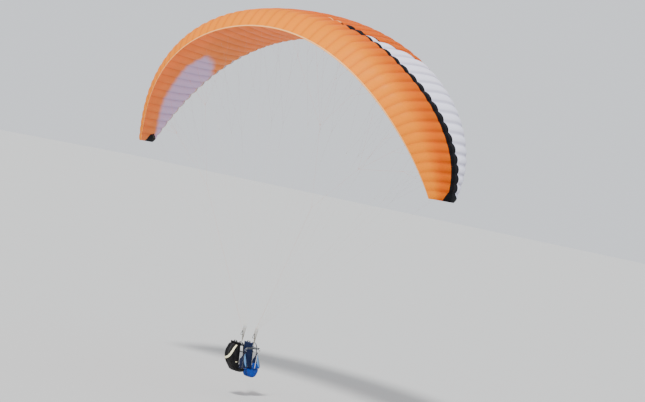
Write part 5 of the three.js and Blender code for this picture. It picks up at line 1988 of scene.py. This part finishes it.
class PARAGLIDER_OT_straps(bpy.types.Operator):
    """Sews the side panels and every strap of the harnesses"""

    bl_idname = "paraglider.straps"
    bl_label = "Side panels and straps"

    def execute(self, context):
        for harness in harnesses(context):
            webbing = webbing_material(f"{harness.name} strap webbing", harness.strap)
            plastic = plastic_material(f"{harness.name} buckles", BUCKLE_PLASTIC)
            below = harness.looks.blue if harness.name == "passenger" else None
            name, border = f"{harness.name} side cloth", harness.pivot.z + SEAT_TOP + 0.11
            shell = woven_material(name, harness.looks.navy, below=below, border=border)
            for side_name, side in SIDES.items():
                self.side(harness, side_name, side, shell, webbing)
            self.shoulders(harness, webbing, plastic)
            self.legs(harness, webbing, plastic)
        return {"FINISHED"}

    def side(self, harness, side_name, side, shell, webbing):
        """A side panel with its welt and crescent, the main strap over it, and their stitches."""
        name, looks = f"{harness.name}_side", harness.looks
        edge = rounded(SIDE_OUTLINE, 0.035, 5)
        origin = harness.at(0, side * (harness.half + SOFT_GAP + STRAP_ROOM), 0)
        panel = slab(f"{name}_panel_{side_name}", edge, origin, FORWARD, UPWARD, 0.006, 0.0018)
        harness.finish(panel, harness.slot, shell, [f"side_{side_name}"])
        rim = [origin + Vector((a, side * 0.0028, b)) for a, b in edge]
        welt = rod(f"{name}_welt_{side_name}", rim, 0.0026, closed=True, sides=WELT_SIDES)
        harness.finish(welt, harness.slot, webbing_material(f"{name} welt", looks.strap))
        face = side * (harness.half + 0.0105)
        route = self.main_strap(harness, side_name, side, face, webbing)
        out = origin + ACROSS * side * 0.0034
        name = f"{name}_{side_name}"
        inlay = slab(f"{name}_inlay", crescent(), out, FORWARD, UPWARD, 0.0012, 0.0003)
        harness.finish(inlay, "blue_cloth", woven_material(f"{name} inlay", looks.sky, wear=0.1))
        rows = [[p + Vector((x, side * 0.003, 0)) for p in route] for x in (-TACK_HALF, TACK_HALF)]
        out = face + side * 0.0031
        for z in (-0.24, SEAT_TOP + 0.02):
            rows.append([harness.at(a * TACK_HALF, out, z + b) for a, b in BAR_TACK])
        rows.append([p + ACROSS * side * 0.003 for p in rim])
        harness.stitch(f"side_{side_name}", rows, harness.slot)

    def main_strap(self, harness, side_name, side, face, webbing):
        """The strap from the carabiner down a side's face; returns its route on the face."""
        bar = harness.at(0, side * HANG_HALF_WIDTH, LOOP_Z)
        tail = [bar - UPWARD * 0.014, bar - UPWARD * 0.035]
        tail += [harness.at(0, face, z) for z in (LOOP_Z - 0.085, -0.3, SEAT_TOP - 0.043)]
        route = smooth_route(tail, 5)
        twist = []
        for point in route:
            turn = math.pi / 2 * min(1, max(0, (tail[0].z - point.z) / 0.06))
            twist.append(ACROSS * math.cos(turn) + FORWARD * math.sin(turn))
        name = f"{harness.name}_main_strap_{side_name}"
        strap = hung_loop(name, bar, HARNESS_LOOP_WIDTH, 0.002, LOOP_INNER, route, twist)
        harness.finish(strap, "strap_webbing", webbing)
        return route[10:]

    def shoulders(self, harness, webbing, plastic):
        """The shoulder straps with their pads, and the strap across the chest."""
        pads, rows, straps = [], [], []
        for side in SIDES.values():
            points = [
                (back_at(BACK_HEIGHT - 0.09) + 0.006, 0.095, BACK_TOP - 0.09),
                (back_at(BACK_HEIGHT) + 0.04, 0.1, BACK_TOP + 0.01),
                (-0.06, 0.115, BACK_TOP - 0.04),
                (0.01, 0.13, SEAT_TOP + 0.42), (0, harness.half - 0.03, SEAT_TOP + 0.25),
                (-0.04, harness.half - 0.02, SEAT_TOP + 0.12),
            ]
            route = smooth_route([harness.at(x, side * y, z) for x, y, z in points], 8)
            pads.append(swept("pad", route, flat_section(0.04, 0.0075), ACROSS))
            straps.append(swept("strap", route[10:], flat_section(0.022, 0.0102), ACROSS))
            for offset in (-0.0165, 0.0165):
                rows += [self.beside(route, offset, lift) for lift in (0.0042, -0.0042)]
            straps.append(self.ladder_buckle(*route[20:22]))
        name = harness.name
        cloth = woven_material(f"{name} shoulder cloth", harness.shell)
        pads = joined(f"{name}_shoulder_pads", pads)
        harness.finish(pads, "strap_webbing", cloth, ["shoulder_straps"])
        chest = smooth_route([harness.at(0.01, y, CHEST) for y in (-0.14, 0, 0.14)], 6)
        straps.append(swept("chest", chest, flat_section(0.025, 0.003), UPWARD))
        harness.finish(joined(f"{name}_chest_strap", straps), "strap_webbing", webbing)
        clip = self.clip(f"{name}_chest_buckle", harness.at(0.01, 0, CHEST), ACROSS, UPWARD)
        harness.finish(clip, "strap_webbing", plastic)
        harness.stitch("shoulder", rows, "strap_webbing")

    def beside(self, route, offset, lift):
        """A row beside the middle of a strap along the route."""
        row = []
        for k, point in enumerate(route):
            along = along_at(route, k)
            side = (ACROSS - along * along.y).normalized()
            row.append(point + side * offset + along.cross(side) * lift)
        return row

    def ladder_buckle(self, start, end):
        """A ladder buckle round a strap."""
        along = (end - start).normalized()
        side = (ACROSS - along * along.y).normalized()
        corners = ((-0.015, 0), (0.015, 0), (0.015, 0.02), (-0.015, 0.02))
        ring = rounded([start + side * a + along * b for a, b in corners], 0.004, 3)
        lift = along.cross(side) * 0.0045
        return rod("buckle", [p + lift for p in ring], 0.0022, closed=True, sides=WELT_SIDES)

    def clip(self, name, middle, along, up, size=1.0):
        """A side-release buckle across a strap."""
        edge = [p * size for p in rounded(CLIP_OUTLINE, 0.004, 3)]
        return slab(name, edge, middle, along, up, 0.009 * size, 0.0016)

    def legs(self, harness, webbing, plastic):
        """The thigh straps with their buckles, and the strap between them down to the seat."""
        straps, clips = [], []
        section = flat_section(0.03, 0.003)
        for side in SIDES.values():
            points = [
                (THIGH_X, 0, 0.165), (THIGH_X - 0.02, 0.06, 0.185), (THIGH_X - 0.06, 0.125, 0.165),
                (THIGH_X - 0.06, harness.half - 0.0024, 0.11),
            ]
            route = [harness.at(x, side * y, SEAT_TOP + z) for x, y, z in points]
            straps.append(swept("thigh", smooth_route(route, 7), section, FORWARD))
            middle = harness.at(THIGH_X - 0.022, side * 0.062, SEAT_TOP + 0.1835)
            along, up = (-0.35, side, 0.05), (1.0, side * 0.35, 0)
            clips.append(self.clip("clip", middle, along, up, 0.8))
        points = ((0, 0.17), (0.01, 0.08), (0.015, 0.0005))
        route = [harness.at(THIGH_X + x, 0, SEAT_TOP + z) for x, z in points]
        straps.append(swept("middle", smooth_route(route, 7), section, ACROSS))
        straps = joined(f"{harness.name}_leg_webbing", straps)
        harness.finish(straps, "strap_webbing", webbing, ["leg_straps"])
        clips = joined(f"{harness.name}_leg_buckles", clips)
        harness.finish(clips, "strap_webbing", plastic)


# Stage

FLOOR_HALF = 400.0
# Each light: its share of the key light, its angular size in degrees and its direction
LIGHTS = {"key": (1.0, 8, (0.62, 0.18, -0.76)), "fill": (0.3, 60, (0.7, 0.9, 0.25))}
CAMERA_PLACE = (-33.2595, -26.5803, -3.9241)
CAMERA_YAW, CAMERA_PITCH, CAMERA_ROLL = np.radians((37.193, -0.899, 11.481)).tolist()
SENSOR_WIDTH, FOCAL_LENGTH, FARTHEST = 36.0, 83.72, 2000.0


class PARAGLIDER_OT_stage(bpy.types.Operator):
    """Sets up the floor, the lights and the camera"""

    bl_idname = "paraglider.stage"
    bl_label = "Stage"

    def execute(self, context):
        looks = context.scene.paraglider_stage
        self.floor(looks)
        world = bpy.data.worlds.new("soft sky")
        world.use_nodes = True
        sky = world.node_tree.nodes["Background"]
        sky.inputs["Color"].default_value = (*looks.air, 1.0)
        sky.inputs["Strength"].default_value = looks.sky
        context.scene.world = world
        for name, (share, size, direction) in LIGHTS.items():
            light = bpy.data.lights.new(name, "SUN")
            light.energy = looks.sun * share
            light.angle = math.radians(size)
            turn = Vector(direction).to_track_quat("-Z", "Y")
            add_object(name, light).rotation_euler = turn.to_euler()
        context.scene.camera = self.camera()
        return {"FINISHED"}

    def floor(self, looks):
        low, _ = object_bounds()
        level, half = low[2] - looks.floor_gap, FLOOR_HALF
        corners = [
            (-half, -half, level), (half, -half, level), (half, half, level), (-half, half, level)
        ]
        ground = add_mesh("floor", corners, [(0, 1, 2, 3)], smooth=False)
        material, graph, place = new_material("floor paint")
        tone = mixed(graph, noise(graph, place, 0.2), looks.floor, darker(looks.floor, 0.985))
        end_material(material, graph, {"Base Color": tone, "Roughness": 0.9})
        ground.data.materials.append(material)
        ground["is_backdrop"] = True

    def camera(self):
        yaw, pitch, roll = CAMERA_YAW, CAMERA_PITCH, CAMERA_ROLL
        level = Vector((math.cos(yaw), math.sin(yaw), 0))
        ahead = level * math.cos(pitch) + UPWARD * math.sin(pitch)
        level_right = Vector((math.sin(yaw), -math.cos(yaw), 0))
        right = level_right * math.cos(roll) + level_right.cross(ahead) * math.sin(roll)
        view = Matrix((right, (-ahead).cross(right), -ahead)).transposed().to_4x4()
        view.translation = CAMERA_PLACE
        lens = bpy.data.cameras.new("camera")
        lens.sensor_width, lens.lens, lens.clip_end = SENSOR_WIDTH, FOCAL_LENGTH, FARTHEST
        camera = add_object("camera", lens)
        camera.matrix_world = view
        return camera


# Registration

GROUPS = {
    "paraglider_sails": PARAGLIDER_PG_sails,
    "paraglider_lines": PARAGLIDER_PG_lines,
    "paraglider_harnesses": PARAGLIDER_PG_harnesses,
    "paraglider_stage": PARAGLIDER_PG_stage,
}
OPERATORS = (
    PARAGLIDER_OT_sails, PARAGLIDER_OT_ribs, PARAGLIDER_OT_lines, PARAGLIDER_OT_risers,
    PARAGLIDER_OT_carabiners, PARAGLIDER_OT_bars, PARAGLIDER_OT_seats, PARAGLIDER_OT_backs,
    PARAGLIDER_OT_airbags, PARAGLIDER_OT_straps, PARAGLIDER_OT_stage,
)


class PARAGLIDER_PT_sidebar(bpy.types.Panel):
    bl_label = "Paraglider"
    bl_idname = "PARAGLIDER_PT_sidebar"
    bl_space_type = "VIEW_3D"
    bl_region_type = "UI"
    bl_category = "Paraglider"

    def draw(self, context):
        for operator in OPERATORS:
            self.layout.operator(operator.bl_idname)
        for group in GROUPS:
            box = self.layout.box()
            looks = getattr(context.scene, group)
            for name in looks.bl_rna.properties.keys():
                if name not in ("rna_type", "name"):
                    box.prop(looks, name)


CLASSES = (*GROUPS.values(), *OPERATORS, PARAGLIDER_PT_sidebar)


def register():
    for cls in CLASSES:
        bpy.utils.register_class(cls)
    for name, group in GROUPS.items():
        setattr(bpy.types.Scene, name, bpy.props.PointerProperty(type=group))


def unregister():
    for name in GROUPS:
        delattr(bpy.types.Scene, name)
    for cls in reversed(CLASSES):
        bpy.utils.unregister_class(cls)


def main():
    register()
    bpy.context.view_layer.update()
    for operator in OPERATORS:
        area, name = operator.bl_idname.split(".")
        getattr(getattr(bpy.ops, area), name)()
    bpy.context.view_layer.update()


if __name__ == "__main__":
    main()
